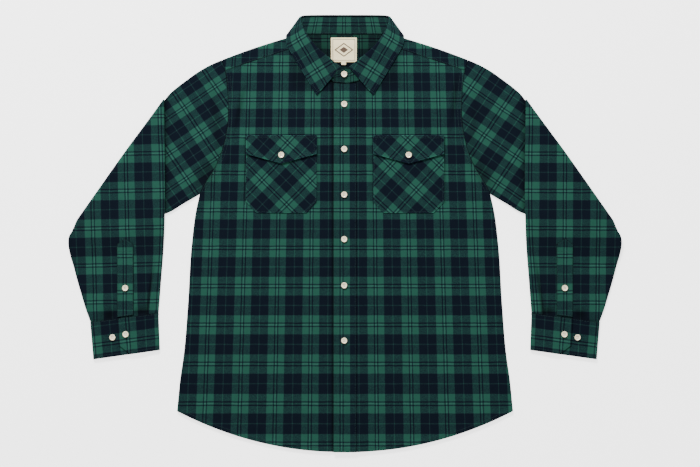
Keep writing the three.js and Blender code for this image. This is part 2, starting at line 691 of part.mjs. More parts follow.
// Cuff: a strip from its lapped end over the top, round the inner fold, along below, round the outer fold
// and back under its lapped end. across runs from the inner fold, 0, to the outer fold, 1.
const CUFF_WIDTH = Math.hypot(CUFF_TOP_OUTER.x - CUFF_TOP_INNER.x, CUFF_TOP_OUTER.y - CUFF_TOP_INNER.y);
function cuffPath(lapEnd) {
  const roll = CUFF_HEIGHT / 2;
  const rollShare = roll / CUFF_WIDTH;
  const lapTop = CUFF_HEIGHT + CUFF_LAP_RISE;
  const path = [];
  for (const share of [1, 0.72, 0.44, 0.2]) {
    const across = lapEnd * share;
    path.push({ across, z: CUFF_HEIGHT + CUFF_LAP_RISE * smooth((across - 0.1) / 0.25) });
  }
  path[0].z = lapTop;
  for (const degrees of [0, 45, 90, 135, 180]) {
    const angle = THREE.MathUtils.degToRad(degrees);
    path.push({ across: rollShare * (1 - Math.sin(angle)), z: roll * (1 + Math.cos(angle)) });
  }
  for (const across of [0.33, 0.66]) path.push({ across, z: 0 });
  for (const degrees of [180, 135, 90, 45, 0]) {
    const angle = THREE.MathUtils.degToRad(degrees);
    path.push({ across: 1 - rollShare * (1 - Math.sin(angle)), z: roll * (1 + Math.cos(angle)) });
  }
  for (const across of [0.8, 0.6, CUFF_UNDER_END]) path.push({ across, z: CUFF_HEIGHT });
  return path;
}
const cuffGrid = [];
for (const down of [1, 0.86, 0.72, 0.36, 0]) {
  const cut = CUFF_CORNER_CUT * clamp01((down - 0.72) / 0.28);
  cuffGrid.push(cuffPath(CUFF_LAP_END - cut).map(({ across, z }) => {
    const topX = CUFF_TOP_INNER.x + (CUFF_TOP_OUTER.x - CUFF_TOP_INNER.x) * across;
    const topY = CUFF_TOP_INNER.y + (CUFF_TOP_OUTER.y - CUFF_TOP_INNER.y) * across;
    const lowX = CUFF_LOW_INNER.x + (CUFF_LOW_OUTER.x - CUFF_LOW_INNER.x) * across;
    const lowY = CUFF_LOW_INNER.y + (CUFF_LOW_OUTER.y - CUFF_LOW_INNER.y) * across;
    return point(topX + (lowX - topX) * down, topY + (lowY - topY) * down, z);
  }).reverse());
}
addPiece("cuff_left", clothWall([cuffGrid], CUFF_CLOTH), FABRIC_NAVY);
addPiece("cuff_right", clothWall([mirrored(cuffGrid)], CUFF_CLOTH), FABRIC_NAVY);

// Collar. At each station the outer face runs from the neck seam up the stand's neck side, round the roll
// and down the leaf. half is 1 on the wearer's left and -1 on the right.
function collarStation(row, half) {
  const raise = half > 0 ? COLLAR_LAP * row.lap : 0;
  const turn = THREE.MathUtils.degToRad(row.turn);
  const roll = point(row.rollX, row.rollY, row.rollZ + raise);
  const edge = point(row.edgeX, row.edgeY, row.edgeZ);
  const neck = point(row.neckX, row.neckY, row.neckZ + raise);
  const down = point(row.edgeX - row.rollX, row.edgeY - row.rollY, 0).normalize();
  const sideways = point(-down.y, down.x, 0);
  const toLeaf = sideways.multiplyScalar(Math.sin(turn)).add(point(0, 0, Math.cos(turn)));
  const standTop = roll.clone().addScaledVector(toLeaf, -row.radius);
  const leafTop = roll.clone().addScaledVector(toLeaf, row.radius);
  const turnPath = [25, 60, 90, 120, 150, 180].map((degrees) => {
    const angle = THREE.MathUtils.degToRad(degrees);
    return roll
      .clone()
      .addScaledVector(toLeaf, -row.radius * Math.cos(angle))
      .addScaledVector(down, -row.radius * Math.sin(angle));
  });
  const stand = [0, 0.5, STAND_SHARE].map((share) => neck.clone().lerp(standTop, share));
  const leaf = [...turnPath, ...[0.33, 0.66, 1].map((share) => leafTop.clone().lerp(edge, share))];
  const place = (p) => point(half * p.x, p.y, p.z);
  return { stand: stand.map(place), leaf: leaf.map(place) };
}
const stationsLeft = COLLAR.map((row) => collarStation(row, 1));
const stationsRight = COLLAR.slice(0, -1).map((row) => collarStation(row, -1)).reverse();
const stations = [...stationsLeft, ...stationsRight];

// The stand's ends: the wearer's left one lies over the other.
function standEnd(row, half) {
  const base = TUBE_HEIGHT - CLOTH + (half > 0 ? COLLAR_LAP : 0);
  return [0, 0.5, 1].map((share) => {
    const y = row.lowY + (row.highY - row.lowY) * share;
    const rise = half > 0 ? row.rise * share : 0.4 * row.rise * share;
    return point(half * row.x, y, base + rise);
  });
}
const standColumns = [
  ...STAND_END.map((row) => standEnd(row, 1)),
  ...stations.map((station) => station.stand),
  ...STAND_END.map((row) => standEnd(row, -1)).reverse(),
];
function rowsOf(columns) {
  return columns[0].map((_, i) => columns.map((column) => column[i]).reverse());
}
addPiece("collar_stand", clothWall([rowsOf(standColumns)], COLLAR_CLOTH), FABRIC_NAVY);
addPiece("collar_leaf", clothWall([rowsOf(stations.map((s) => s.leaf))], COLLAR_CLOTH), FABRIC_GREEN);

// Label and size tab, on the inside of the yoke
function plainRows(middleX, middleY, width, height, count) {
  const rows = [];
  for (let r = 0; r <= count; r++) {
    const y = middleY + height * (r / count - 0.5);
    rows.push([-0.5, 0, 0.5].map((side) => [middleX + width * side, y]));
  }
  return rows;
}
function labelPatch(box, count) {
  const rows = plainRows(box.x, box.y, box.width, box.height, count);
  return rows.map((row) => row.map(([x, y]) => {
    return point(x, y, backHeight(x, y) + CLOTH + LAY_GAP + LABEL.thickness);
  }));
}
addPiece("label", clothWall([labelPatch(LABEL, 8)], LABEL.thickness), LABEL_CREAM, 0.8);
addPiece("size_tab", clothWall([labelPatch(SIZE_TAB, 1)], LABEL.thickness), LABEL_CREAM, 0.8);

// Buttons: a domed disc with a raised rim and a hollow middle, flat below
function buttonGeometry() {
  const profile = [
    [0, 0],
    [BUTTON_RADIUS * 0.8, 0],
    [BUTTON_RADIUS, BUTTON_HEIGHT * 0.45],
    [BUTTON_RADIUS * 0.88, BUTTON_HEIGHT],
    [BUTTON_RADIUS * 0.62, BUTTON_HEIGHT * 0.8],
    [0, BUTTON_HEIGHT * 0.66],
  ];
  const places = profile.map(([r, z]) => new THREE.Vector2(r, z));
  return new THREE.LatheGeometry(places, BUTTON_SEGMENTS).rotateX(Math.PI / 2);
}
function addButton(name, x, y, z) {
  const button = addPiece(name, buttonGeometry(), BUTTON_CREAM, 0.35);
  button.position.set(x, y, z + LAY_GAP);
}
FRONT_BUTTON_YS.forEach((y, i) => {
  addButton("button_front_" + (i + 2), FRONT_BUTTON_X, y, heightOn(placketRows, FRONT_BUTTON_X, y));
});
const standTopFace = lifted(rowsOf(standColumns.slice(0, 7)), COLLAR_CLOTH);
const standButtonZ = heightOn(standTopFace, FRONT_BUTTON_X, STAND_BUTTON_Y) + STAND_BUTTON_GAP;
addButton("button_front_1", FRONT_BUTTON_X, STAND_BUTTON_Y, standButtonZ);
for (const [suffix, sign, front] of [["left", 1, frontLeft], ["right", -1, frontRight]]) {
  const x = sign * POCKET_X;
  const flapTop = heightOn(front, x, POCKET_BUTTON_Y) + 2 * pocketLift;
  addButton("button_pocket_" + suffix, x, POCKET_BUTTON_Y, flapTop);
  const { x: gx, y: gy } = GAUNTLET_BUTTON;
  addButton("button_sleeve_" + suffix, sign * gx, gy, heightOn(gauntletGrid, gx, gy));
  CUFF_BUTTONS.forEach((place, i) => {
    const z = CUFF_HEIGHT + (i === 0 ? CUFF_LAP_RISE : 0);
    addButton("button_cuff_" + suffix + "_" + (i + 1), sign * place.x, place.y, z);
  });
}

export default shirt;
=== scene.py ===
# A flannel shirt laid flat on its back, sleeves folded at the elbow. Sizes are in millimetres in the tables
# and metres in the meshes. +Z is up and +Y goes to the collar. Left and right are the wearer's, and the
# wearer's left is at +X.
import math
import bpy
import numpy as np
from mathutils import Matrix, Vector
from mathutils.kdtree import KDTree


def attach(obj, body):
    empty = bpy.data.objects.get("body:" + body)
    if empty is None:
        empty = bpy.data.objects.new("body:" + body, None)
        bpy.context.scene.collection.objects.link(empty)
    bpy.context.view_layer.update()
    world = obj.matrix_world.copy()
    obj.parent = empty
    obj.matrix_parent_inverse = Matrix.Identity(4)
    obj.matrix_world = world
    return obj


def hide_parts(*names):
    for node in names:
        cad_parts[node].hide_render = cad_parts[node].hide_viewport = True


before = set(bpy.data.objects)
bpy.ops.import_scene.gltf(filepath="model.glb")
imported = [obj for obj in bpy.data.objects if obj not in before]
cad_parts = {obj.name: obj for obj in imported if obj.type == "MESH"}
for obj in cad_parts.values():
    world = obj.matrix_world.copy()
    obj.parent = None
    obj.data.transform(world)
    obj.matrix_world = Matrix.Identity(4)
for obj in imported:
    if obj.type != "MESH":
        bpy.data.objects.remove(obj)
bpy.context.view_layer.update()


# Back
# One panel of brushed cotton, face down on the floor. It rolls up at its sides to meet the fronts, and its
# hem is turned under twice and sewn. The cloth is a wall of even thickness, and its check is in its material.
MM = 0.001
CLOTH = 1.2
SEAM_GAP = 0.3
LAY_GAP = 0.4
TUBE_HEIGHT = 5.2
SIDE_ROLL = TUBE_HEIGHT / 2
HEM_CORNER_Y = -346
HEM_CENTRE_Y = -426
HEM_CURVE_POWER = 2.1
BACK_HEM_DROP = 1.5
HEM_WIDTH = 8
HEM_RAISE = 0.5
ARMPIT_Y = 76
SHOULDER_TIP_Y = 338.5
FRONT_SEAM_END_Y = 318
BACK_SEAM_Y = 290
SIDE = {
    "y": [-346, -286, -227, -130, -13, 46, 76],
    "x": [327.6, 321.8, 314, 306.2, 298.4, 290.5, 283.5],
}
ARMHOLE = {
    "y": [76, 84, 94, 108, 126, 150, 180, 212, 250, 290, 318, 338.5],
    "x": [283.5, 279.8, 274.6, 266, 254.6, 243.5, 234.3, 228.7, 227.2, 229.4, 233.4, 240],
}
# Soft ridges: the middle, the way in degrees, the half length, the half width and the height
BACK_CREASES = [
    (-170, 60, 64, 150, 20, 1.1),
    (150, -60, 104, 170, 24, 0.9),
    (30, 190, 12, 110, 18, 0.8),
    (-60, -230, 82, 130, 26, 1.0),
    (235, 150, 58, 60, 14, 0.9),
]
YOKE_RAISE = 2.8
YOKE_RAISE_FROM_Y = 342
YOKE_RAISE_TO_Y = 372
YOKE_RAISE_HALF = 118
YOKE_RAISE_FADE = 40
PANEL_STEP = 4.5
PANEL_LOW_ROWS = 92
SIDE_TURNS = np.radians([14, 28, 42, 56, 70, 84])
SEAM_STEPS = [12, 10, 8, 6, 3, 0]
HEM_STEPS = [0, 2, 4.5, 7, 8.5, 10]
FELL_WIDTH = 8
FELL_RAISE = 0.45
REPEAT_WIDE = 65.2
REPEAT_WIDE_SLOPE = -0.00014
REPEAT_TALL = 73.6
REPEAT_TALL_SLOPE = -0.0128
REPEAT_TALL_BASE = 73.033
LINE_PHASE_TALL = 0.0155
POINTS_PER_MM = 50
SHARP_ANGLE = math.radians(50)
MIRROR = np.array([-1, 1, 1])
SIDES = (("left", 1), ("right", -1))


def smooth(t):
    s = np.clip(t, 0, 1)
    return s * s * (3 - 2 * s)


def through(xs, ys, k):
    """Value at k on a smooth line through the points."""
    xs, ys = np.array(xs, float), np.array(ys, float)
    k = np.clip(k, xs[0], xs[-1])
    slopes = np.gradient(ys, xs)
    i = np.clip(np.searchsorted(xs, k) - 1, 0, len(xs) - 2)
    wide = xs[i + 1] - xs[i]
    t = (k - xs[i]) / wide
    start = (1 + 2 * t) * (1 - t) ** 2 * ys[i] + t * (1 - t) ** 2 * wide * slopes[i]
    end = t * t * (3 - 2 * t) * ys[i + 1] - t * t * (1 - t) * wide * slopes[i + 1]
    return start + end


def turned(x, y, row):
    """Places along and across a row's way from its middle, in its lengths and widths."""
    angle = math.radians(row[2])
    dx, dy = x - row[0], y - row[1]
    along = (dx * math.cos(angle) + dy * math.sin(angle)) / row[3]
    return along, (-dx * math.sin(angle) + dy * math.cos(angle)) / row[4]


def ridges(rows, x, y):
    """Height at a place on soft ridges."""
    total = 0.0
    for row in rows:
        along, across = turned(x, y, row)
        total = total + row[5] * np.exp(-along * along - across * across)
    return total


def painted_shade_share(rows, x, y):
    """Share of the colour that is left under painted shade at a place, from a table of shaded patches."""
    return np.clip(1 - ridges(rows, x, y), 0.3, 1)


def unit(ways):
    return ways / np.maximum(np.linalg.norm(ways, axis=-1, keepdims=True), 1e-9)


def run(points):
    """How far along the line each of its points is."""
    return np.concatenate([[0], np.cumsum(np.linalg.norm(np.diff(points, axis=0), axis=1))])


def side_x(y):
    return through(SIDE["y"], SIDE["x"], y)


def armhole_x(y):
    return through(ARMHOLE["y"], ARMHOLE["x"], y)


def hem_y(x):
    share = np.abs(x) / SIDE["x"][0]
    return HEM_CENTRE_Y + (HEM_CORNER_Y - HEM_CENTRE_Y) * share ** HEM_CURVE_POWER


def back_height(x, y):
    """Under face of the back and yoke, which climb over the collar leaf."""
    up = smooth((y - YOKE_RAISE_FROM_Y) / (YOKE_RAISE_TO_Y - YOKE_RAISE_FROM_Y))
    return YOKE_RAISE * up * (1 - smooth((np.abs(x) - YOKE_RAISE_HALF) / YOKE_RAISE_FADE))


def check_place(cloth):
    """Place in repeats of the body's check, which is a little wider and taller towards the hem."""
    x, y = cloth[..., 0], cloth[..., 1]
    wide = REPEAT_WIDE * (1 + REPEAT_WIDE_SLOPE * y)
    tall = REPEAT_TALL + REPEAT_TALL_SLOPE * y
    v = np.log(REPEAT_TALL_BASE / tall) / -REPEAT_TALL_SLOPE - LINE_PHASE_TALL
    return np.stack([x / wide, v], axis=-1)


def body_panel(columns, rows_high, hem_drop, top_end, top_line, height, roll_sign, side):
    """Grid of a body panel's outer face, with its places on the flat cloth. It is worked out with x growing
    to the side seam, and side is 1 or -1 for the half that it is on."""
    inner = columns[-1]
    end_x = float(armhole_x(top_end))
    count = int((SIDE["x"][0] - inner) / PANEL_STEP)
    grid, cloth = [], []
    hem_share = np.array(HEM_STEPS) / (ARMPIT_Y - HEM_CENTRE_Y)
    levels = [(True, t) for t in [*hem_share, *np.linspace(hem_share[-1], 1, PANEL_LOW_ROWS)[1:]]]
    levels += [(False, t) for t in np.linspace(0, 1, rows_high)[1:]]
    for below_armpit, t in levels:
        if below_armpit:
            edge_y = HEM_CORNER_Y + (ARMPIT_Y - HEM_CORNER_Y) * t
            edge_x = float(side_x(edge_y))
        else:
            edge_y = ARMPIT_Y + (top_end - ARMPIT_Y) * t
            edge_x = float(armhole_x(edge_y))
        flat_end = edge_x - SIDE_ROLL
        spread = np.linspace(inner, flat_end - SEAM_STEPS[0], count)[1:]
        plain = np.concatenate([columns, spread, flat_end - np.array(SEAM_STEPS[1:])])
        x = np.concatenate([plain, flat_end + SIDE_ROLL * np.sin(SIDE_TURNS)])
        cloth_x = np.concatenate([plain, flat_end + SIDE_ROLL * SIDE_TURNS])
        if below_armpit:
            low = hem_y(np.minimum(x, SIDE["x"][0])) + hem_drop
            y = low + (ARMPIT_Y - low) * t
        else:
            top_x = np.where(x <= inner, x, inner + (x - inner) * (end_x - inner) / (edge_x - inner))
            y = ARMPIT_Y + (top_line(top_x) - ARMPIT_Y) * t
        rolled = (1 - smooth((edge_y - ARMPIT_Y) / 8)) * roll_sign * SIDE_ROLL
        z = height(side * x, y)
        z[len(plain):] += rolled * (1 - np.cos(SIDE_TURNS))
        grid.append(np.stack([side * x, y, z], axis=-1))
        cloth.append(np.stack([side * cloth_x, y], axis=-1))
    return np.array(grid), np.array(cloth)


def placed(name, data):
    """An object in the scene."""
    thing = bpy.data.objects.new(name, data)
    bpy.context.scene.collection.objects.link(thing)
    return thing


def cloth_piece(name, patches, material, thickness=CLOTH, bulge=0.25, fading=None):
    """A closed wall of cloth, from patches of points on its outer face and their places in the check. Seen
    from outside, rows run up when columns run right. Patches that share points are joined there, and the
    wall grows inwards. The rim is rounded by a middle line that stands out by bulge. The colour carries
    painted shade where the shade function, worked out from the points of the outer or the inner face, is
    below 1."""
    points = np.concatenate([p.reshape(-1, 3) for p, _ in patches])
    places = np.concatenate([c.reshape(-1, 2) for _, c in patches])
    corners, start = [], 0
    for p, _ in patches:
        rows, cols = p.shape[:2]
        index = start + np.arange(rows * cols).reshape(rows, cols)
        four = [index[:-1, :-1], index[:-1, 1:], index[1:, 1:], index[1:, :-1]]
        corners.append(np.stack(four, axis=-1).reshape(-1, 4))
        start += rows * cols
    corners = np.concatenate(corners)
    joined = np.round(points * POINTS_PER_MM)
    _, first, which = np.unique(joined, axis=0, return_index=True, return_inverse=True)
    which = which.reshape(-1)
    outer = points[first]
    quads = which[corners]
    across = np.cross(outer[quads[:, 2]] - outer[quads[:, 0]], outer[quads[:, 3]] - outer[quads[:, 1]])
    normals = np.zeros_like(outer)
    for corner in range(4):
        np.add.at(normals, quads[:, corner], across)
    normals = unit(normals)
    inner = outer - normals * thickness
    count = len(outer)
    ends = np.concatenate([np.stack([quads[:, i], quads[:, (i + 1) % 4]], axis=1) for i in range(4)])
    at = np.concatenate([np.stack([corners[:, i], corners[:, (i + 1) % 4]], axis=1) for i in range(4)])
    keep = ends[:, 0] != ends[:, 1]
    ends, at = ends[keep], at[keep]
    open_edge = ~np.isin(ends[:, 0] * count + ends[:, 1], ends[:, 1] * count + ends[:, 0])
    ends, at = ends[open_edge], at[open_edge]
    out = np.zeros_like(outer)
    sideways = unit(np.cross(outer[ends[:, 1]] - outer[ends[:, 0]], normals[ends[:, 0]]))
    for corner in range(2):
        np.add.at(out, ends[:, corner], sideways)
    out = unit(out)
    rim = np.unique(ends)
    rim_index = np.full(count, -1)
    rim_index[rim] = 2 * count + np.arange(len(rim))
    middle = (outer[rim] + inner[rim]) / 2 + out[rim] * bulge
    vertices = np.concatenate([outer, inner, middle]) * MM
    faces, uvs = [], []

    def add(face, at_corners):
        kept = [i for i in range(len(face)) if face[i] not in face[:i]]
        if len(kept) > 2:
            faces.append([int(face[i]) for i in kept])
            uvs.extend(places[at_corners[i]] for i in kept)

    for face, at_corners in zip(quads.tolist(), corners.tolist()):
        add(face, at_corners)
        add([count + i for i in face[::-1]], at_corners[::-1])
    for (a, b), (ua, ub) in zip(ends.tolist(), at.tolist()):
        add([b, a, rim_index[a], rim_index[b]], [ub, ua, ua, ub])
        add([rim_index[b], rim_index[a], count + a, count + b], [ub, ua, ua, ub])
    mesh = bpy.data.meshes.new(name)
    mesh.from_pydata(vertices.tolist(), [], faces)
    layer = mesh.uv_layers.new(name="cloth")
    layer.data.foreach_set("uv", np.array(uvs).reshape(-1))
    tree = KDTree(len(rim))
    for i, place in enumerate(outer[rim]):
        tree.insert(place, i)
    tree.balance()
    far = np.array([tree.find(place)[2] for place in outer])
    inside = mesh.attributes.new("inside", "FLOAT", "POINT")
    inside.data.foreach_set("value", np.concatenate([far, far, 0 * far[rim]]))
    # Painted shade: the share of the colour left at each point, kept in the tone attribute
    painted_shade_values = np.ones(len(vertices))
    if fading is not None:
        painted_shade_values = np.concatenate([fading(outer, True), fading(inner, False), fading(outer, True)[rim]])
    tone = mesh.attributes.new("tone", "FLOAT", "POINT")
    tone.data.foreach_set("value", painted_shade_values)
    mesh.polygons.foreach_set("use_smooth", [True] * len(mesh.polygons))
    mesh.set_sharp_from_angle(angle=SHARP_ANGLE)
    mesh.materials.append(material)
    return placed(name, mesh)


def flipped(grid):
    return grid[:, ::-1]


def on_side(side, grid, places):
    """A piece's points and places in the check, made for the wearer's left, on either side."""
    return [(grid, places) if side > 0 else (flipped(grid) * MIRROR, flipped(places))]


class Value:
    """A shader socket with arithmetic, which makes nodes."""

    def __init__(self, tree, socket):
        self.tree = tree
        self.socket = socket

    def node(self, kind, inputs, output=0, **settings):
        """A node with its inputs set or linked."""
        made = self.tree.nodes.new(kind)
        for key, item in settings.items():
            setattr(made, key, item)
        for key, item in inputs.items():
            if isinstance(item, Value):
                self.tree.links.new(item.socket, made.inputs[key])
            else:
                made.inputs[key].default_value = item
        return Value(self.tree, made.outputs[output])

    def make(self, operation, *items, clamp=False):
        return self.node("ShaderNodeMath", dict(enumerate(items)), operation=operation, use_clamp=clamp)

    def __add__(self, other):
        return self.make("ADD", self, other)

    def __sub__(self, other):
        return self.make("SUBTRACT", self, other)

    def __rsub__(self, other):
        return self.make("SUBTRACT", other, self)

    def __mul__(self, other):
        return self.make("MULTIPLY", self, other)

    def __truediv__(self, other):
        return self.make("DIVIDE", self, other)

    __radd__ = __add__
    __rmul__ = __mul__

    def size(self):
        return self.make("ABSOLUTE", self)

    def sine(self):
        return self.make("SINE", self)

    def clamped(self):
        return self.make("ADD", self, 0.0, clamp=True)

    def below(self, limit, edge):
        """1 where this is less than the limit, and 0 where it is more."""
        return ((limit - self) * edge + 0.5).clamped()

    def noise(self, scale, detail=2.0, roughness=0.5):
        """Unevenness by place."""
        inputs = {"Vector": self, "Scale": scale, "Detail": detail, "Roughness": roughness}
        return self.node("ShaderNodeTexNoise", inputs)

    def ramped(self, stops):
        """Colour from a table of values and colours."""
        ramp = self.tree.nodes.new("ShaderNodeValToRGB")
        elements = ramp.color_ramp.elements
        while len(elements) < len(stops):
            elements.new(0.5)
        for element, (at, colour) in zip(elements, stops):
            element.position = at
            element.color = (*colour, 1)
        self.tree.links.new(self.socket, ramp.inputs[0])
        return Value(self.tree, ramp.outputs[0])

    def feed(self, shader, key):
        self.tree.links.new(self.socket, shader.inputs[key])

    def bump(self, shader, strength, distance):
        """Makes the face uneven by this height."""
        inputs = {"Height": self, "Strength": strength, "Distance": distance}
        self.node("ShaderNodeBump", inputs).feed(shader, "Normal")


def new_material(name, **values):
    """A material, its node tree and its shader. A space in the name of a value is written as _."""
    material = bpy.data.materials.new(name)
    material.use_nodes = True
    shader = material.node_tree.nodes["Principled BSDF"]
    for key, value in values.items():
        shader.inputs[key.replace("_", " ")].default_value = value
    return material, material.node_tree, shader


def cloth_map(tree):
    """The piece's own map, whole and in its two parts."""
    maps = tree.nodes.new("ShaderNodeUVMap")
    maps.uv_map = "cloth"
    split = tree.nodes.new("ShaderNodeSeparateXYZ")
    tree.links.new(maps.outputs[0], split.inputs[0])
    return [Value(tree, socket) for socket in (maps.outputs[0], split.outputs[0], split.outputs[1])]


GREEN_HALF_WIDTH = 0.245
DARK_LINE_AT = 0.044
DARK_LINE_HALF = 0.0165
LIGHT_LINE_HALF = 0.0125
TEAL_LINE_HALF = 0.0135
STRIPE_EDGE = 75
LINE_EDGE = 95
LEVEL_GREEN = 1.0
LEVEL_DARK = -0.05
LEVEL_LIGHT = 1.13
LEVEL_TEAL = 0.7
LEVEL_LOW = -0.3
LEVEL_RANGE = 1.6
NAP_SIZE = 0.62
PATCH_SIZE = 0.11
BEND_SIZE = 0.05
BEND_REACH = 0.02
TWILL_PITCH = 1.1
PUCKER_REACH = 7
PUCKER_HEIGHT = 9
PUCKER_SIZE = 0.16
CHECK_COLOURS = [
    (-0.2, (0.0014, 0.0026, 0.0052)),
    (0.0, (0.0022, 0.0046, 0.0092)),
    (0.28, (0.0040, 0.0104, 0.0142)),
    (0.5, (0.0063, 0.0212, 0.0216)),
    (0.75, (0.0086, 0.0350, 0.0290)),
    (1.0, (0.0115, 0.0590, 0.0410)),
    (1.25, (0.0380, 0.1150, 0.0950)),
]
# Painted shade along the rims of the body, sleeve and cuff pieces, and a painted highlight along the turned
# edges of the pockets, flaps and collar
PAINTED_EDGE_SHADE = -0.45
PAINTED_EDGE_HIGHLIGHT = 0.7


def flannel(name, seed, edge_shade_and_highlight=PAINTED_EDGE_SHADE):
    """Brushed cotton twill in a green and navy check, read from the piece's own map in repeats. The colour
    carries painted shade along seams, and a painted highlight along turned edges, where the fold catches the
    light. Each piece's painted shade, from its tone attribute, darkens it too."""
    material, tree, shader = new_material(
        name, Roughness=0.92, Specular_IOR_Level=0.05, Sheen_Weight=0.006, Sheen_Roughness=0.6
    )
    _, u, v = cloth_map(tree)
    wide, tall = u * REPEAT_WIDE, v * REPEAT_TALL
    where = u.node("ShaderNodeCombineXYZ", {"X": wide, "Y": tall, "Z": float(seed)})
    nap = where.noise(NAP_SIZE, 3.0, 0.7)

    def level(place):
        off = (place - place.make("ROUND", place)).size()
        green = off.below(GREEN_HALF_WIDTH, STRIPE_EDGE)
        dark = (off - DARK_LINE_AT).size().below(DARK_LINE_HALF, LINE_EDGE)
        light = off.below(LIGHT_LINE_HALF, LINE_EDGE)
        teal = ((off - (0.5 - TEAL_LINE_HALF)) * LINE_EDGE + 0.5).clamped()
        lined = green * LEVEL_GREEN + dark * (LEVEL_DARK - LEVEL_GREEN) + light * (LEVEL_LIGHT - LEVEL_GREEN)
        return lined + teal * LEVEL_TEAL

    bent = (where.noise(BEND_SIZE) - 0.5) * BEND_REACH
    warp, weft = level(u + bent), level(v + bent)
    twill = ((wide + tall) * (2 * math.pi / TWILL_PITCH)).sine()
    share = (0.5 + twill * 0.2 + (nap - 0.5) * 1.1).clamped()
    mixed = (warp + (weft - warp) * share - LEVEL_LOW) / LEVEL_RANGE
    colour = mixed.ramped([((at - LEVEL_LOW) / LEVEL_RANGE, colour) for at, colour in CHECK_COLOURS])
    # The tone attribute holds each piece's painted shade
    inside, tone = (
        u.node("ShaderNodeAttribute", {}, 2, attribute_name=key) for key in ("inside", "tone")
    )
    edge = (1 - inside * 0.7).clamped()
    patchy = where.noise(PATCH_SIZE, 3.0)
    # Random patches and nap, then the painted rim shade and highlight, and each piece's painted shade
    shade = (0.86 + patchy * 0.16 + nap * 0.12) * (1 + edge * edge_shade_and_highlight) * tone
    toned = u.node("ShaderNodeVectorMath", {"Vector": colour, "Scale": shade}, operation="SCALE")
    toned.feed(shader, "Base Color")
    near = u.make("POWER", 2.718, inside * inside * (-1 / PUCKER_REACH ** 2))
    height = twill * 0.35 + nap * 1.4 + near * where.noise(PUCKER_SIZE, 1.0) * PUCKER_HEIGHT
    height.bump(shader, 0.6, 0.00016)
    return material


def fell_raise(inside):
    """Extra height where a seam is turned under and sewn flat, by the distance inside of it."""
    return FELL_RAISE * (1 - smooth((inside - FELL_WIDTH) / 2))


def hem_raise(x, y, drop):
    """Extra height of the doubled cloth along the hem."""
    return HEM_RAISE * (1 - smooth((y - hem_y(x) - drop - HEM_WIDTH) / 2))


def evaluated_mesh(piece, name):
    graph = bpy.context.evaluated_depsgraph_get()
    mesh = bpy.data.meshes.new_from_object(piece.evaluated_get(graph))
    mesh.name = name
    return mesh


def thread(name, colour):
    """Spun polyester thread, uneven in tone and lightly glossy."""
    material, tree, shader = new_material(name, Roughness=0.6, Specular_IOR_Level=0.2)
    at = Value(tree, tree.nodes.new("ShaderNodeTexCoord").outputs["Object"])
    shade = 0.7 + at.noise(900.0) * 0.6
    toned = at.node("ShaderNodeVectorMath", {"Vector": colour, "Scale": shade}, operation="SCALE")
    toned.feed(shader, "Base Color")
    plies = at.node("ShaderNodeTexWave", {"Vector": at, "Scale": 1400.0, "Distortion": 1.5}, 1)
    plies.bump(shader, 0.4, 0.0001)
    return material


STITCH = {"Pitch": 3.1, "Length": 2.4, "Width": 0.6, "Turn": 0}


def stitch_tree():
    """Stitches along every line of a mesh, all in one mesh."""
    tree = bpy.data.node_groups.new("stitches", "GeometryNodeTree")
    sockets = tree.interface
    sockets.new_socket("Lines", in_out="INPUT", socket_type="NodeSocketGeometry")
    for key in STITCH:
        sockets.new_socket(key, in_out="INPUT", socket_type="NodeSocketFloat")
    sockets.new_socket("Thread", in_out="INPUT", socket_type="NodeSocketMaterial")
    sockets.new_socket("Stitches", in_out="OUTPUT", socket_type="NodeSocketGeometry")

    def node(kind, links, **settings):
        made = tree.nodes.new(kind)
        for key, item in settings.items():
            setattr(made, key, item)
        for key, item in links.items():
            if isinstance(item, bpy.types.NodeSocket):
                tree.links.new(item, made.inputs[key])
            else:
                made.inputs[key].default_value = item
        return made.outputs[0] if made.outputs else None

    given = tree.nodes.new("NodeGroupInput").outputs
    curves = node("GeometryNodeMeshToCurve", {"Mesh": given["Lines"]})
    spaced = node("GeometryNodeResampleCurve", {"Curve": curves, "Length": given["Pitch"]}, mode="LENGTH")
    bead = node("GeometryNodeMeshUVSphere", {"Segments": 6, "Rings": 4, "Radius": 0.5})
    size = node("ShaderNodeCombineXYZ", {"X": given["Length"], "Y": given["Width"], "Z": given["Width"]})
    turn = node("ShaderNodeCombineXYZ", {"Z": given["Turn"]})
    sized = node("GeometryNodeTransform", {"Geometry": bead, "Scale": size, "Rotation": turn})
    along = node("GeometryNodeInputTangent", {})
    aimed = node("FunctionNodeAlignRotationToVector", {"Vector": along}, axis="X")
    beads = node("GeometryNodeInstanceOnPoints", {"Points": spaced, "Instance": sized, "Rotation": aimed})
    real = node("GeometryNodeRealizeInstances", {"Geometry": beads})
    painted = node("GeometryNodeSetMaterial", {"Geometry": real, "Material": given["Thread"]})
    node("NodeGroupOutput", {"Stitches": painted})
    return tree


stitches = stitch_tree()
seam_thread = thread("thread_green", (0.012, 0.036, 0.034))


def sewn(name, lines, slot, material=seam_thread, **sizes):
    """A piece of stitches along lines of points."""
    vertices, edges = [], []
    for line in lines:
        start = len(vertices)
        vertices.extend((np.asarray(line) * MM).tolist())
        edges.extend((start + i, start + i + 1) for i in range(len(line) - 1))
    mesh = bpy.data.meshes.new(name)
    mesh.from_pydata(vertices, edges, [])
    piece = placed(name, mesh)
    given = {**STITCH, **sizes}
    modifier = piece.modifiers.new("stitches", "NODES")
    modifier.node_group = stitches
    for socket in stitches.interface.items_tree:
        if socket.name in given:
            scale = 1.0 if socket.name == "Turn" else MM
            modifier[socket.identifier] = float(given[socket.name]) * scale
        if socket.name == "Thread":
            modifier[socket.identifier] = material
    finished = evaluated_mesh(piece, name)
    piece.modifiers.remove(modifier)
    piece.data = finished
    bpy.data.meshes.remove(mesh)
    finished.polygons.foreach_set("use_smooth", [True] * len(finished.polygons))
    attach(piece, "root")
    return piece


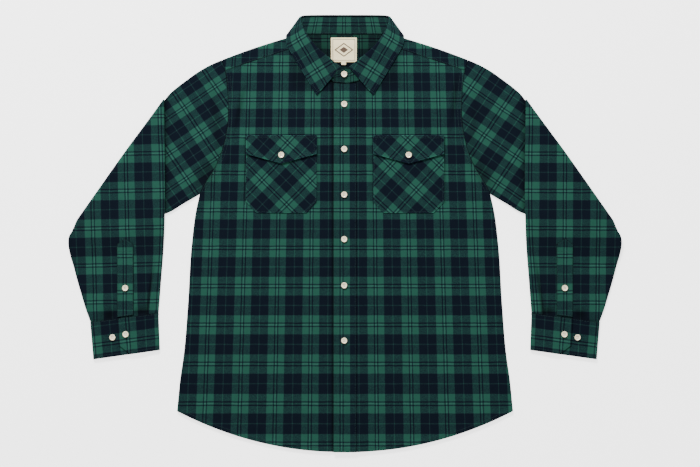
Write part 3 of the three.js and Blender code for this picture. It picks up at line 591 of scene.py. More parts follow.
STITCH_LIFT = 0.08
STITCH_SINK = 0.18


def on_face(face, x, y, lift=STITCH_LIFT):
    """A line of points just off a face that is given by its height."""
    x, y = np.broadcast_arrays(np.asarray(x, float), np.asarray(y, float))
    return np.stack([x, y, face(x, y) + lift], axis=-1)


def armhole_rows(face, side, top_y, lift=STITCH_LIFT):
    """Two rows of stitches along an armhole's felled seam."""
    y = np.linspace(ARMPIT_Y + 9, top_y, 70)
    return [on_face(face, side * (armhole_x(y) - off), y, lift) for off in (1.6, FELL_WIDTH - 0.6)]


def inset(corners, by):
    """The corners of an outline that is smaller by a distance on each side. They go anticlockwise."""
    corners = np.array(corners, float)
    after = unit(np.roll(corners, -1, axis=0) - corners)
    inward = np.column_stack([-after[:, 1], after[:, 0]])
    before = np.roll(inward, 1, axis=0)
    return corners + by * (inward + before) / (1 + (inward * before).sum(axis=1, keepdims=True))


def dense(corners, step=4):
    """Points at short steps along the straight lines between corners."""
    parts = []
    for a, b in zip(corners[:-1], corners[1:]):
        count = max(2, int(np.linalg.norm(np.subtract(b, a)) / step) + 1)
        parts.append(np.linspace(a, b, count)[:-1])
    return np.vstack([*parts, corners[-1:]])


def all_round(corners):
    return dense(np.vstack([corners, corners[:1]]))


def sewn_on(name, node, slot, patches, material, rows_name, rows, cut, sewing=None, **wall):
    """One piece of the garment in place of its solid, with its rows of stitches. Its cut is not used."""
    piece = cloth_piece(name, patches, material, **wall)
    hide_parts(node)
    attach(piece, "root")
    threads = [sewn("stitches_" + rows_name, rows, slot, **(sewing or {}))] if rows else []


body_flannel = flannel("flannel_body", 1)
back_columns = np.arange(0, 100.1, PANEL_STEP)
back_top = BACK_SEAM_Y - SEAM_GAP / 2
HEM_ROW_END = 318


def back_face(x, y):
    pressed = smooth((SIDE["x"][0] - 40 - np.abs(x)) / 40) * smooth((back_top - y) / 30)
    return back_height(x, y) + np.maximum(0, ridges(BACK_CREASES, x, y)) * pressed


halves = [
    body_panel(back_columns, 46, BACK_HEM_DROP, BACK_SEAM_Y, lambda x: back_top + 0 * x, back_face, 1, side)
    for side in (-1, 1)
]
back_grid, back_cloth = (
    np.concatenate([flipped(right), left[:, 1:]], axis=1) for right, left in zip(*halves)
)
hem_x = np.linspace(-HEM_ROW_END, HEM_ROW_END, 180)
back_rows = [on_face(back_face, hem_x, hem_y(hem_x) + BACK_HEM_DROP + HEM_WIDTH - 1, STITCH_SINK)]
for side in (-1, 1):
    back_rows += armhole_rows(back_face, side, back_top - 2, STITCH_SINK)
sewn_on(
    "back_panel", "back", "body_flannel",
    [(flipped(back_grid), flipped(check_place(back_cloth)))],
    body_flannel, "back", back_rows,
    {"flat": (0.668, 0.726), "held": "laid", "rests_on": []},
)


# Fronts
# Two panels of the same flannel, face up. They lie on the back, overlap by 40 mm at the centre with the
# wearer's left one on top, and end at the yoke's seams.
FRONT_NECK = {
    "x": [0, 22, 38, 54, 70, 84, 94, 100],
    "y": [291.5, 294, 302, 313.5, 327, 340, 351, 362],
}
NECK_SHOULDER_X = 103.4
NECK_SHOULDER_Y = 384
BACK_NECK_Y = 387.5
FRONT_OVERLAP = 20
OVERLAP_LIFT = 1.6
LIFT_FROM = 24
LIFT_TO = 52
PLACKET_GROOVE_X = -26
PLACKET_GROOVE_HALF = 4
PLACKET_GROOVE_DEPTH = 1.2
FRONT_NECK_RAISE = 1.5
FRONT_NECK_RAISE_REACH = 42
# Shared by both halves, then the creases of each one
DRAPE = [
    (215, 40, 38, 80, 30, 1.0),
    (120, -120, 84, 150, 36, 0.9),
    (255, -190, 98, 120, 30, 0.9),
    (60, -290, 86, 110, 34, 0.8),
]
FRONT_CREASES = [
    (208, 272, 84, 46, 6, 2.6),
    (222, 262, 80, 40, 6, -1.6),
    (251, 136, 118, 40, 6, 2.4),
    (238, 116, 112, 44, 9, -1.4),
    (-199, 250, 78, 42, 8, -1.4),
    (-212, 238, 82, 40, 6, 2.3),
    (-246, 122, 60, 46, 7, 2.2),
    (-262, 60, 50, 40, 9, -1.2),
    (270, 40, 128, 46, 9, -1.2),
]


def front_height(x, y):
    """Top face of the under front."""
    near = np.hypot(np.abs(x) - NECK_SHOULDER_X, y - NECK_SHOULDER_Y) / FRONT_NECK_RAISE_REACH
    inside = np.where(y < ARMPIT_Y, side_x(y), armhole_x(y)) - np.abs(x)
    z = TUBE_HEIGHT + FRONT_NECK_RAISE * np.exp(-near * near)
    z = z + ridges(DRAPE, np.abs(x), y) * smooth(inside / 40)
    z = z + np.where(y > ARMPIT_Y, fell_raise(inside), 0) * smooth((FRONT_SEAM_END_Y - y) / 4)
    return z + ridges(FRONT_CREASES, x, y) * smooth(inside / 14)


def overlap_lift(x):
    return OVERLAP_LIFT * (1 - smooth((x - LIFT_FROM) / (LIFT_TO - LIFT_FROM)))


def left_front_face(x, y):
    return front_height(x, y) + overlap_lift(x) + hem_raise(x, y, 0)


def right_front_face(x, y):
    beside = np.exp(-(((x - PLACKET_GROOVE_X) / PLACKET_GROOVE_HALF) ** 2))
    return front_height(x, y) + hem_raise(x, y, 0) - PLACKET_GROOVE_DEPTH * beside


def front_top_y(x):
    end_x = float(armhole_x(FRONT_SEAM_END_Y))
    curved = through(FRONT_NECK["x"], FRONT_NECK["y"], np.abs(x))
    last_x, last_y = FRONT_NECK["x"][-1], FRONT_NECK["y"][-1]
    straight = last_y + (FRONT_SEAM_END_Y - last_y) * (x - last_x) / (end_x - last_x)
    return np.where(np.abs(x) <= last_x, curved, straight)


# Patches of painted shade in the fronts' creases and below the flaps: the middle, the way in degrees, the
# half length, the half width and the share darkened
FRONT_PAINTED_SHADE = [
    (214, 268, 84, 44, 5, 0.3),
    (262, 120, 118, 30, 8, 0.3),
    (-205, 246, 78, 40, 6, 0.3),
    (-262, 108, 60, 34, 8, 0.3),
    (124, 132, 0, 70, 12, 0.12),
    (-124, 132, 0, 70, 12, 0.12),
]

POCKET_X = 124
PLACKET_SHADE_X = -23
LEFT_CHECK_SHIFT = 6.6


def front_fading(points, outside):
    """Painted shade along the placket's edge on the under front, beside the pockets, under the collar, in the
    creases and below the flaps.
    """
    x, y = points[:, 0], points[:, 1]
    placket_edge = 0.68 * np.exp(-(((x - PLACKET_SHADE_X) / 2.6) ** 2)) * (x < PLACKET_SHADE_X + 2)
    pocket_edge = np.abs(np.abs(np.abs(x) - POCKET_X) - 69.5)
    beside = 0.4 * np.exp(-((pocket_edge / 2.4) ** 2)) * smooth((y - 54) / 8) * smooth((192 - y) / 3)
    neck = 0.45 * smooth((y - 262) / 40) * smooth((118 - np.abs(x)) / 24)
    return painted_shade_share(FRONT_PAINTED_SHADE, x, y) * (1 - placket_edge) * (1 - beside) * (1 - neck * 0.7)


front_columns = np.concatenate([np.linspace(-FRONT_OVERLAP, 0, 6), np.arange(4, 84.1, 4)])
front_grids = {}
for (suffix, side), face in zip(SIDES, (left_front_face, right_front_face)):
    grid, cloth = body_panel(front_columns, 54, 0, FRONT_SEAM_END_Y, front_top_y, face, -1, side)
    places = check_place(cloth + [LEFT_CHECK_SHIFT * (side > 0), 0])
    if side < 0:
        grid, places = flipped(grid), flipped(places)
    front_grids[suffix] = grid
    hem_x = side * np.linspace(24, HEM_ROW_END, 90)
    rows = [on_face(face, hem_x, hem_y(hem_x) + HEM_WIDTH - 1)]
    rows += armhole_rows(face, side, FRONT_SEAM_END_Y - 3)
    sewn_on(
        "front_panel_" + suffix, "front_" + suffix, "body_flannel", [(grid, places)],
        body_flannel, "front_" + suffix, rows,
        {"flat": (0.36, 0.792), "area": 0.247, "held": "laid", "rests_on": ["back_panel"]},
        fading=front_fading,
    )


# Placket
# A strip of flannel on the left front's edge, sewn down along both sides, which carries the buttonholes.
PLACKET_WIDTH = 44.5
PLACKET_EDGE_LIFT = 0.7
PLACKET_STITCH_X = [-15.6, 20]
placket_x = np.linspace(-PLACKET_WIDTH / 2, PLACKET_WIDTH / 2, 19)


def placket_face(x, y):
    free = PLACKET_EDGE_LIFT * smooth((-15 - x) / 7)
    return left_front_face(np.maximum(x, -FRONT_OVERLAP), y) + LAY_GAP + CLOTH + free


placket_rows = []
for row in front_grids["left"]:
    y = np.interp(np.maximum(placket_x, -FRONT_OVERLAP), row[:, 0], row[:, 1])
    placket_rows.append(np.column_stack([placket_x, y, placket_face(placket_x, y)]))
placket_grid = np.array(placket_rows)
hem_x = np.linspace(-20, 21, 12)
rows = [on_face(placket_face, hem_x, hem_y(hem_x) + HEM_WIDTH - 1)]
for x in PLACKET_STITCH_X:
    rows.append(on_face(placket_face, x, np.linspace(HEM_CENTRE_Y + 2, FRONT_NECK["y"][0] - 2, 120)))
sewn_on(
    "placket_strip", "placket", "body_flannel",
    [(placket_grid, check_place(placket_grid[..., :2] + [LEFT_CHECK_SHIFT, 0]))],
    body_flannel, "placket", rows,
    {"flat": (0.0445, 0.72), "held": "laid", "rests_on": ["front_panel_left"]},
)


# Yoke
# One piece of flannel over both shoulders: its back part lies under the neck, and on each side a strip
# turns over the shoulder to the front seam.
YOKE_OUTER = 239
# The yoke is cut on its own, so that its check doesn't meet the fronts'
YOKE_SHIFT = [31, 22]
yoke_neck_x = np.linspace(0, 99, 24)
yoke_x = np.linspace(NECK_SHOULDER_X, YOKE_OUTER, 32)


def shoulder_y(x):
    share = (x - NECK_SHOULDER_X) / (ARMHOLE["x"][-1] - NECK_SHOULDER_X)
    bow = 2.2 * np.sin(np.pi * np.clip(share, 0, 1))
    return NECK_SHOULDER_Y + (SHOULDER_TIP_Y - NECK_SHOULDER_Y) * share + bow


def shoulder_roll(x):
    y = shoulder_y(x)
    return (front_height(x, y) - back_height(x, y)) / 2


def yoke_strip_x(column, y):
    share = (column - NECK_SHOULDER_X) / (YOKE_OUTER - NECK_SHOULDER_X)
    return NECK_SHOULDER_X + (armhole_x(y) - NECK_SHOULDER_X) * share


def yoke_fading(points, outside):
    """Painted shade inside the neck, where little light falls."""
    if outside:
        return np.ones(len(points))
    return 1 - 0.52 * smooth((112 - np.abs(points[:, 0])) / 30)


yoke_low_y = BACK_SEAM_Y + SEAM_GAP / 2
yoke_roll = shoulder_roll(yoke_x)
yoke_top_y = shoulder_y(yoke_x) - yoke_roll
yoke_back_half = []
for share in np.linspace(0, 1, 26):
    neck_y = yoke_low_y + (BACK_NECK_Y - yoke_low_y) * share
    neck_part = np.stack([yoke_neck_x, neck_y + 0 * yoke_neck_x], axis=-1)
    y = yoke_low_y + (yoke_top_y - yoke_low_y) * share
    x = yoke_strip_x(yoke_x, y) * (1 - share ** 6) + yoke_x * share ** 6
    flat = np.concatenate([neck_part, np.stack([x, y], axis=-1)])
    yoke_back_half.append(np.column_stack([flat, back_height(*flat.T)]))
yoke_back_half = np.array(yoke_back_half)
yoke_back = np.concatenate([flipped(yoke_back_half[:, 1:] * MIRROR), yoke_back_half], axis=1)
yoke_strip, yoke_strip_cloth = [], []
bottom = back_height(yoke_x, yoke_top_y)
lean = (front_height(yoke_x, yoke_top_y) - bottom) / 2
for angle in np.radians(np.arange(0, 181, 15)):
    z = bottom + lean * (1 - math.cos(angle))
    yoke_strip.append(np.column_stack([yoke_x, yoke_top_y + yoke_roll * math.sin(angle), z]))
    yoke_strip_cloth.append(np.column_stack([yoke_x, yoke_top_y + yoke_roll * (math.pi - angle)]))
end_x = yoke_strip_x(yoke_x, FRONT_SEAM_END_Y)
end_y = front_top_y(end_x) + SEAM_GAP
for share in np.linspace(0, 1, 9)[1:]:
    x = yoke_x + (end_x - yoke_x) * share
    y = yoke_top_y + (end_y - yoke_top_y) * share
    yoke_strip.append(np.column_stack([x, y, front_height(x, y)]))
    yoke_strip_cloth.append(np.column_stack([x, y]))
yoke_strip = np.array(yoke_strip)
yoke_strip_cloth = np.array(yoke_strip_cloth)
yoke_patches = [
    (flipped(yoke_back), flipped(check_place(yoke_back[..., :2] + YOKE_SHIFT))),
    (flipped(yoke_strip), flipped(check_place(yoke_strip_cloth + YOKE_SHIFT))),
    (yoke_strip * MIRROR, check_place(yoke_strip_cloth * MIRROR[:2] + YOKE_SHIFT)),
]
seam_x = np.linspace(-222, 222, 120)
yoke_rows = [on_face(back_height, seam_x, BACK_SEAM_Y + 2, STITCH_SINK)]
for side in (-1, 1):
    seam_x = np.linspace(NECK_SHOULDER_X + 6, 228, 36)
    yoke_rows.append(on_face(front_height, side * seam_x, front_top_y(seam_x) + 2.3))
sewn_on(
    "yoke_panel", "yoke", "body_flannel", yoke_patches, body_flannel, "yoke", yoke_rows,
    {"flat": (0.48, 0.14), "area": 0.053, "held": "folded", "rests_on": ["collar_leaf_fold"]},
    fading=yoke_fading,
)


# Chest pockets and flaps
# Each pocket is cut on the bias and sewn on three sides, and its pointed flap is sewn along the top and
# buttoned down.
POCKET_HALF = 68.3
POCKET_TOP_Y = 187
POCKET_LOW_Y = 40.2
POCKET_CHAMFER_X = 19.6
POCKET_CHAMFER_Y = 21.2
POCKET_PUFF = 0.5
FLAP_HALF = 68.8
FLAP_TOP_Y = 191.1
FLAP_SIDE_Y = 155
FLAP_POINT_Y = 136.3
FLAP_EDGE_LIFT = 2.2
bias_flannel = flannel("flannel_bias", 2, PAINTED_EDGE_HIGHLIGHT)
pocket_u = np.linspace(-1, 1, 33)[None, :]
pocket_y = POCKET_LOW_Y + (POCKET_TOP_Y - POCKET_LOW_Y) * np.linspace(0, 1, 36)[:, None]


def turned_place(x, y, row):
    """Check turned by some degrees, with two of its double lines crossing at the given place."""
    return np.stack(turned(x, y, row), axis=-1)


# A crossing of double lines, the turn in degrees and the repeat's two sizes
BIAS_CHECKS = {
    "pocket_right": (-113.7, 56.4, 45.3, 65.2, 68),
    "flap_right": (-111.9, 176.5, 47.9, 65.5, 66.8),
    "pocket_left": (138.8, 84.8, 47.5, 65.6, 68.7),
    "flap_left": (122.4, 181.9, 47.6, 63.6, 69.4),
}


def pocket_half(y):
    return POCKET_HALF - POCKET_CHAMFER_X * np.clip(1 - (y - POCKET_LOW_Y) / POCKET_CHAMFER_Y, 0, 1)


def over_fronts(x, y, layers):
    """Top of some layers of cloth that lie on the fronts."""
    return np.where(x > 0, left_front_face(x, y), right_front_face(x, y)) + layers * (LAY_GAP + CLOTH)


def puffed(across):
    return POCKET_PUFF * np.sqrt(np.clip(1 - across ** 4, 0, 1))


def pocket_face(x, y):
    across = (np.abs(x) - POCKET_X) / pocket_half(y)
    up = (y - POCKET_LOW_Y) / (POCKET_TOP_Y - POCKET_LOW_Y)
    return over_fronts(x, y, 1) + puffed(across) * smooth(up / 0.15)


def flap_low(across):
    return FLAP_POINT_Y + (FLAP_SIDE_Y - FLAP_POINT_Y) * np.abs(across)


def flap_face(x, y):
    across = (np.abs(x) - POCKET_X) / FLAP_HALF
    above = (y - flap_low(across)) / (FLAP_TOP_Y - flap_low(across))
    return over_fronts(x, y, 2) + puffed(across) + FLAP_EDGE_LIFT * (1 - above) ** 2


POCKET_CORNERS = [
    (-POCKET_HALF, POCKET_TOP_Y),
    (-POCKET_HALF, POCKET_LOW_Y + POCKET_CHAMFER_Y),
    (POCKET_CHAMFER_X - POCKET_HALF, POCKET_LOW_Y),
    (POCKET_HALF - POCKET_CHAMFER_X, POCKET_LOW_Y),
    (POCKET_HALF, POCKET_LOW_Y + POCKET_CHAMFER_Y),
    (POCKET_HALF, POCKET_TOP_Y),
]
FLAP_CORNERS = [
    (-FLAP_HALF, FLAP_TOP_Y),
    (-FLAP_HALF, FLAP_SIDE_Y),
    (0, FLAP_POINT_Y),
    (FLAP_HALF, FLAP_SIDE_Y),
    (FLAP_HALF, FLAP_TOP_Y),
]
flap_u = np.linspace(-1, 1, 35)[None, :]
flap_y = flap_low(flap_u) + (FLAP_TOP_Y - flap_low(flap_u)) * np.linspace(0, 1, 13)[:, None]
for suffix, side in SIDES:
    middle = side * POCKET_X
    x = middle + pocket_u * pocket_half(pocket_y)
    row = dense(inset(POCKET_CORNERS, 2)) + [middle, 0]
    sewn_on(
        "pocket_panel_" + suffix, "pocket_" + suffix, "bias_flannel",
        [(on_face(pocket_face, x, pocket_y, 0), turned_place(x, pocket_y, BIAS_CHECKS["pocket_" + suffix]))],
        bias_flannel, "pocket_" + suffix, [on_face(pocket_face, *row.T)],
        {"flat": (0.137, 0.147), "held": "laid", "rests_on": ["front_panel_" + suffix]},
    )
    x = middle + flap_u * FLAP_HALF
    rows = [all_round(inset(FLAP_CORNERS, 5)), dense(inset(FLAP_CORNERS, 1.6)[[-1, 0]])]
    sewn_on(
        "flap_" + suffix, "pocket_flap_" + suffix, "bias_flannel",
        [(on_face(flap_face, x, flap_y, 0), turned_place(x, flap_y, BIAS_CHECKS["flap_" + suffix]))],
        bias_flannel, "flap_" + suffix, [on_face(flap_face, *(row + [middle, 0]).T) for row in rows],
        {"flat": (0.138, 0.055), "area": 0.0063, "held": "laid", "rests_on": ["pocket_panel_" + suffix]},
    )


# Sleeves
# Each sleeve is one piece of flannel joined along the underarm. It lies flat from the armhole, is folded
# over at the elbow, and comes down over the upper arm and then beside it.
SLEEVE_GAP = 0.4
ELBOW_AXIS_Z = TUBE_HEIGHT + 0.5
UPPER_SLEEVE = {
    "topX": [262, 285, 307, 326, 342.4, 351.5],
    "topY": [328.5, 315.5, 300, 286, 271.8, 260],
    "underX": [298, 317, 343, 395, 463, 531],
    "underY": [67.4, 56.4, 41, 26, 13, 4.6],
    "follow": [0.85, 0.6, 0.35, 0.12, 0, 0],
}
FOREARM = {
    "topX": [351.5, 351.3, 350.5, 350, 350.3, 351.6, 354, 358.4, 363.3],
    "topY": [260, 225, 180, 120, 50, 8, -34, -90, -154.2],
    "underX": [531, 537, 539, 536.4, 528.6, 522.6, 515.6, 506, 496.6],
    "underY": [4.6, -5, -18, -38, -67, -90, -114, -146, -171.8],
}
SLEEVE_CHECKS = {
    "upper_left": (271.6, 191.4, 56, 62.2, 73.6),
    "upper_right": (281.4, 196.6, 56.2, 58.5, 72.9),
    "forearm_left": (427.3, 10.2, -0.3, 65.5, 72.4),
    "forearm_right": (423.6, 11.1, -1.2, 66.5, 72),
}
UNDERARM = {"x": [298, 317, 343, 395, 463, 531, 560], "y": [69.5, 60, 41, 26, 13, 4.6, -4]}
INNER_EDGE_X = 352
CUFF_SLOPE = -0.132
# The cloth inside of the pleat above the cuff follows the inner fold
PLEAT_X = 20
PLEAT_LOW = (384.6, -160)
PLEAT_HIGH = (362, 0)
PLEAT_HEIGHT = 1.9
SETTLE_LENGTH = 72
SETTLE_DROP = 2 * ELBOW_AXIS_Z - TUBE_HEIGHT
TURN_STEPS = np.radians([18, 36, 54, 72, 90])
UPPER_CREASES = [
    (270, 116, 122, 34, 12, -2.2),
    (292, 130, 118, 40, 9, 1.6),
    (262, 230, 84, 60, 10, 1.1),
    (300, 210, 70, 60, 12, -1.1),
]
FOREARM_CREASES = [
    (396, -154, -8, 12, 16, -2.0),
    (459, -160, -8, 15, 15, -2.2),
    (478, -134, 100, 44, 7, 1.3),
    (447, -128, 94, 30, 6, 0.9),
    (430, 120, 60, 80, 18, 0.9),
    (480, 30, 40, 60, 14, 1.1),
    (500, -20, 62, 44, 9, -1.0),
]
# Patches of painted shade in the upper sleeve's creases, by the armpit
UPPER_PAINTED_SHADE = [
    (268, 116, 122, 36, 14, 0.45),
    (250, 210, 84, 70, 9, 0.25),
]
# Patches of painted shade above the cuff
FOREARM_PAINTED_SHADE = [
    (397, -152, -8, 13, 9, 0.6),
    (459, -158, -8, 14, 9, 0.6),
    (470, -168, -8, 40, 3, 0.3),
]
sleeve_flannel = flannel("flannel_sleeve", 3)
hole_y = np.linspace(SHOULDER_TIP_Y - SIDE_ROLL, ARMPIT_Y + SIDE_ROLL, 52)
hole_line = np.column_stack([armhole_x(hole_y) + SLEEVE_GAP, hole_y])
hole_chord = hole_line[-1] - hole_line[0]
hole_share = (hole_line - hole_line[0]) @ hole_chord / (hole_chord @ hole_chord)
hole_bow = hole_line - (hole_line[0] + hole_share[:, None] * hole_chord)


def section_ends(table):
    """Middles of a section's two folds, from the outline at both ends."""
    top = np.column_stack([table["topX"], table["topY"]]).astype(float)
    under = np.column_stack([table["underX"], table["underY"]]).astype(float)
    way = unit(under - top)
    return np.column_stack([top + way * SIDE_ROLL, under - way * SIDE_ROLL])


def stations(ends, count):
    """The same number of ends at even distances, on smooth lines through the table's."""
    far = run((ends[:, :2] + ends[:, 2:4]) / 2)
    at = np.linspace(0, far[-1], count)
    return np.column_stack([through(far, ends[:, i], at) for i in range(ends.shape[1])])


upper_ends = np.column_stack([section_ends(UPPER_SLEEVE), UPPER_SLEEVE["follow"]])
upper_ends = np.vstack([[*hole_line[0], *hole_line[-1], 1.0], upper_ends])
upper_rings = stations(upper_ends, 44)
forearm_rings = stations(section_ends(FOREARM), 74)
elbow_top, elbow_under = (
    np.array([UPPER_SLEEVE[key + "X"][-1], UPPER_SLEEVE[key + "Y"][-1]]) for key in ("top", "under")
)
elbow_length = np.linalg.norm(elbow_under - elbow_top)
elbow_way = (elbow_under - elbow_top) / elbow_length
elbow_out = np.array([-elbow_way[1], elbow_way[0]])


def settled(flat):
    edge = np.interp(flat[:, 0], UNDERARM["x"], UNDERARM["y"])
    return SETTLE_DROP * smooth((edge - 3 - flat[:, 1]) / SETTLE_LENGTH)


def ring(ends, follow):
    """A loop round the flat tube from the underarm seam over the top face, round the upper fold and back
    below: places on the flat, heights in the tube, and places on the opened cloth."""
    start, end = ends[:2], ends[2:4]
    middles = start + hole_share[:, None] * (end - start) + hole_bow * follow
    up, down = unit(middles[0] - middles[1]), unit(middles[-1] - middles[-2])
    level = np.ones(len(middles))

    def fold(place, way, turns, rising=1):
        turns = turns[:, None]
        height = SIDE_ROLL * (1 + rising * np.cos(turns[:, 0]))
        reach = np.minimum(turns, math.pi - turns)
        return place + way * SIDE_ROLL * np.sin(turns), height, place + way * SIDE_ROLL * reach

    over = np.concatenate([TURN_STEPS, math.pi - TURN_STEPS[-2::-1]])
    parts = [
        fold(middles[-1], down, TURN_STEPS[::-1]),
        (middles[::-1], TUBE_HEIGHT * level, middles[::-1]),
        fold(middles[0], up, over),
        (middles, 0 * level, middles),
        fold(middles[-1], down, TURN_STEPS, -1),
    ]
    return [np.concatenate(part) for part in zip(*parts)]


def pleat_line(y):
    """Share of the way up the pleat, and where its line is."""
    share = (y - PLEAT_LOW[1]) / (PLEAT_HIGH[1] - PLEAT_LOW[1])
    return share, PLEAT_LOW[0] + (PLEAT_HIGH[0] - PLEAT_LOW[0]) * share


def pleat(x, y):
    """Height of the pleat's lying fold, which leans from the cuff to the inner edge and stops at a line."""
    share, line_x = pleat_line(y)
    step = smooth((line_x - x + 1.5) / 3) * (1 - smooth((line_x - x - 4) / 16))
    return PLEAT_HEIGHT * step * (1 - smooth((share - 0.55) / 0.45))


def sleeve_fading(points, outside):
    """Painted shade where the forearm lies beside the upper arm, in the creases, in the pleat's fold and
    above the cuff.
    """
    x, y, z = np.abs(points[:, 0]), points[:, 1], points[:, 2]
    upper = painted_shade_share(UPPER_PAINTED_SHADE, x, y) * (1 - 0.5 * np.exp(-(((x - INNER_EDGE_X) / 8) ** 2)))
    share, line_x = pleat_line(y)
    line = 0.55 * np.exp(-(((x - line_x - 2.5) / 3) ** 2)) * smooth((0.8 - share) / 0.5)
    lower = painted_shade_share(FOREARM_PAINTED_SHADE, x, y) * (1 - line)
    on_top = np.where((z > TUBE_HEIGHT + 2.2) | (y < -4), lower, upper)
    return np.where(z < SIDE_ROLL - 0.4, 1, on_top)


def reflected(place):
    """The other side of the elbow's fold line."""
    off = (place - elbow_top) @ elbow_out
    return place - 2 * off[:, None] * elbow_out


sleeve_points, sleeve_cloth, sleeve_flat, sleeve_hidden = [], [], [], []
for i, row in enumerate(upper_rings):
    flat, height, cloth = ring(row[:4], row[4])
    crease = ridges(UPPER_CREASES, *flat.T) * smooth(i / 5)
    sleeve_points.append(np.column_stack([flat, height + np.where(height > SIDE_ROLL, crease, 0)]))
    sleeve_cloth.append(reflected(cloth) + elbow_out * ELBOW_AXIS_Z * math.pi)
    sleeve_flat.append(cloth)
    sleeve_hidden.append(np.maximum(smooth((cloth[:, 0] - INNER_EDGE_X) / 100), smooth((i - 36) / 7)))
flat, height, cloth = ring(forearm_rings[0], 0)
fold_share = (flat - elbow_top) @ elbow_way / elbow_length
pressed = 1 - 0.48 * (1 - smooth(fold_share / 0.48)) - 0.8 * smooth((fold_share - 0.92) / 0.08)
for angle in np.radians(np.arange(12, 180, 12)):
    radius = ELBOW_AXIS_Z - height
    out = flat + elbow_out * (radius * pressed * math.sin(angle))[:, None]
    sleeve_points.append(np.column_stack([out, ELBOW_AXIS_Z - radius * math.cos(angle)]))
    sleeve_cloth.append(cloth + elbow_out * ELBOW_AXIS_Z * (math.pi - angle))
for row in forearm_rings:
    flat, height, cloth = ring(row, 0)
    crease = ridges(FOREARM_CREASES, *flat.T) + pleat(*flat.T)
    z = 2 * ELBOW_AXIS_Z - height - settled(flat) + np.where(height < SIDE_ROLL, crease, 0)
    sleeve_points.append(np.column_stack([flat, z]))
    inner_x = row[0] - SIDE_ROLL
    drawn = (inner_x - FOREARM["topX"][0]) * (1 - smooth((cloth[:, 0] - PLEAT_X - inner_x) / 5))
    sleeve_cloth.append(cloth - np.column_stack([drawn, 0 * drawn]))
# The gathered end inside the cuff
flat, height, cloth = ring(forearm_rings[-1], 0)
for far, narrow in ((1.6, 0.72), (4.5, 0.5)):
    along = np.array([CUFF_SLOPE, -1]) * far
    sleeve_points.append(np.column_stack([flat + along, SIDE_ROLL + 0.4 + (SIDE_ROLL - height) * narrow]))
    sleeve_cloth.append(cloth + along)
sleeve_grid = flipped(np.array(sleeve_points))
sleeve_cloth, sleeve_flat = np.array(sleeve_cloth), np.array(sleeve_flat)
sleeve_hidden = np.array(sleeve_hidden)[..., None]
upper_count = len(sleeve_flat)
for suffix, side in SIDES:
    places = turned_place(*np.moveaxis(sleeve_cloth, -1, 0), SLEEVE_CHECKS["forearm_" + suffix])
    shown = turned_place(*np.moveaxis(sleeve_flat, -1, 0), SLEEVE_CHECKS["upper_" + suffix])
    shown[..., 0] *= -1
    shown += np.round(places[upper_count - 1].mean(axis=0) - shown[-1].mean(axis=0))
    places[:upper_count] = shown + (places[:upper_count] - shown) * sleeve_hidden
    sewn_on(
        "sleeve_tube_" + suffix, "sleeve_" + suffix, "sleeve_flannel",
        on_side(side, sleeve_grid, flipped(places)), sleeve_flannel, "", [],
        {"flat": (0.54, 0.56), "area": 0.235, "held": "folded", "rests_on": []},
        fading=sleeve_fading,
    )
all_points = sleeve_grid.reshape(-1, 3)
across, up, z = all_points.T
sleeve_tops = all_points[(across > 400) & (across < 456) & (up < 10) & (up > -175) & (z > 4.4)]


def height_on(x, y):
    """Top of the wearer's left sleeve over a place, by its nearest points."""
    gap = (sleeve_tops[:, 0] - x) ** 2 + (sleeve_tops[:, 1] - y) ** 2
    close = np.argsort(gap)[:6]
    weight = 1 / (gap[close] + 0.5)
    return float((sleeve_tops[close, 2] * weight).sum() / weight.sum())


# Sleeve plackets
# A pointed strip of flannel over the opening above each cuff, sewn down all round and buttoned.
GAUNTLET_LEFT = 412.2
GAUNTLET_RIGHT = 443.6
GAUNTLET_LOW_Y = -158.6
GAUNTLET_SHOULDER_Y = -20.9
GAUNTLET_POINT_Y = -9.6
GAUNTLET_GAP = 0.7
GAUNTLET_BOX_DOWN = 13
# A crossing of double lines, the turn in degrees and the repeat's two sizes
GAUNTLET_CHECK = (429, -43.9, 0, 64.9, 70.5)
gauntlet_middle = (GAUNTLET_LEFT + GAUNTLET_RIGHT) / 2
gauntlet_half = (GAUNTLET_RIGHT - GAUNTLET_LEFT) / 2
gauntlet_u = np.linspace(-1, 1, 9)
top = GAUNTLET_SHOULDER_Y + (GAUNTLET_POINT_Y - GAUNTLET_SHOULDER_Y) * (1 - np.abs(gauntlet_u))
low = GAUNTLET_LOW_Y + CUFF_SLOPE * gauntlet_half * (gauntlet_u + 1)
gauntlet_flat = np.array([
    np.column_stack([gauntlet_middle + gauntlet_half * gauntlet_u, low + (top - low) * level])
    for level in np.linspace(0, 1, 32)
])


def on_gauntlet(places, lift=0.0):
    """Points at or just off the strip's top face."""
    z = np.array([height_on(x, y) for x, y in places]) + GAUNTLET_GAP + CLOTH + lift
    return np.column_stack([places, z])


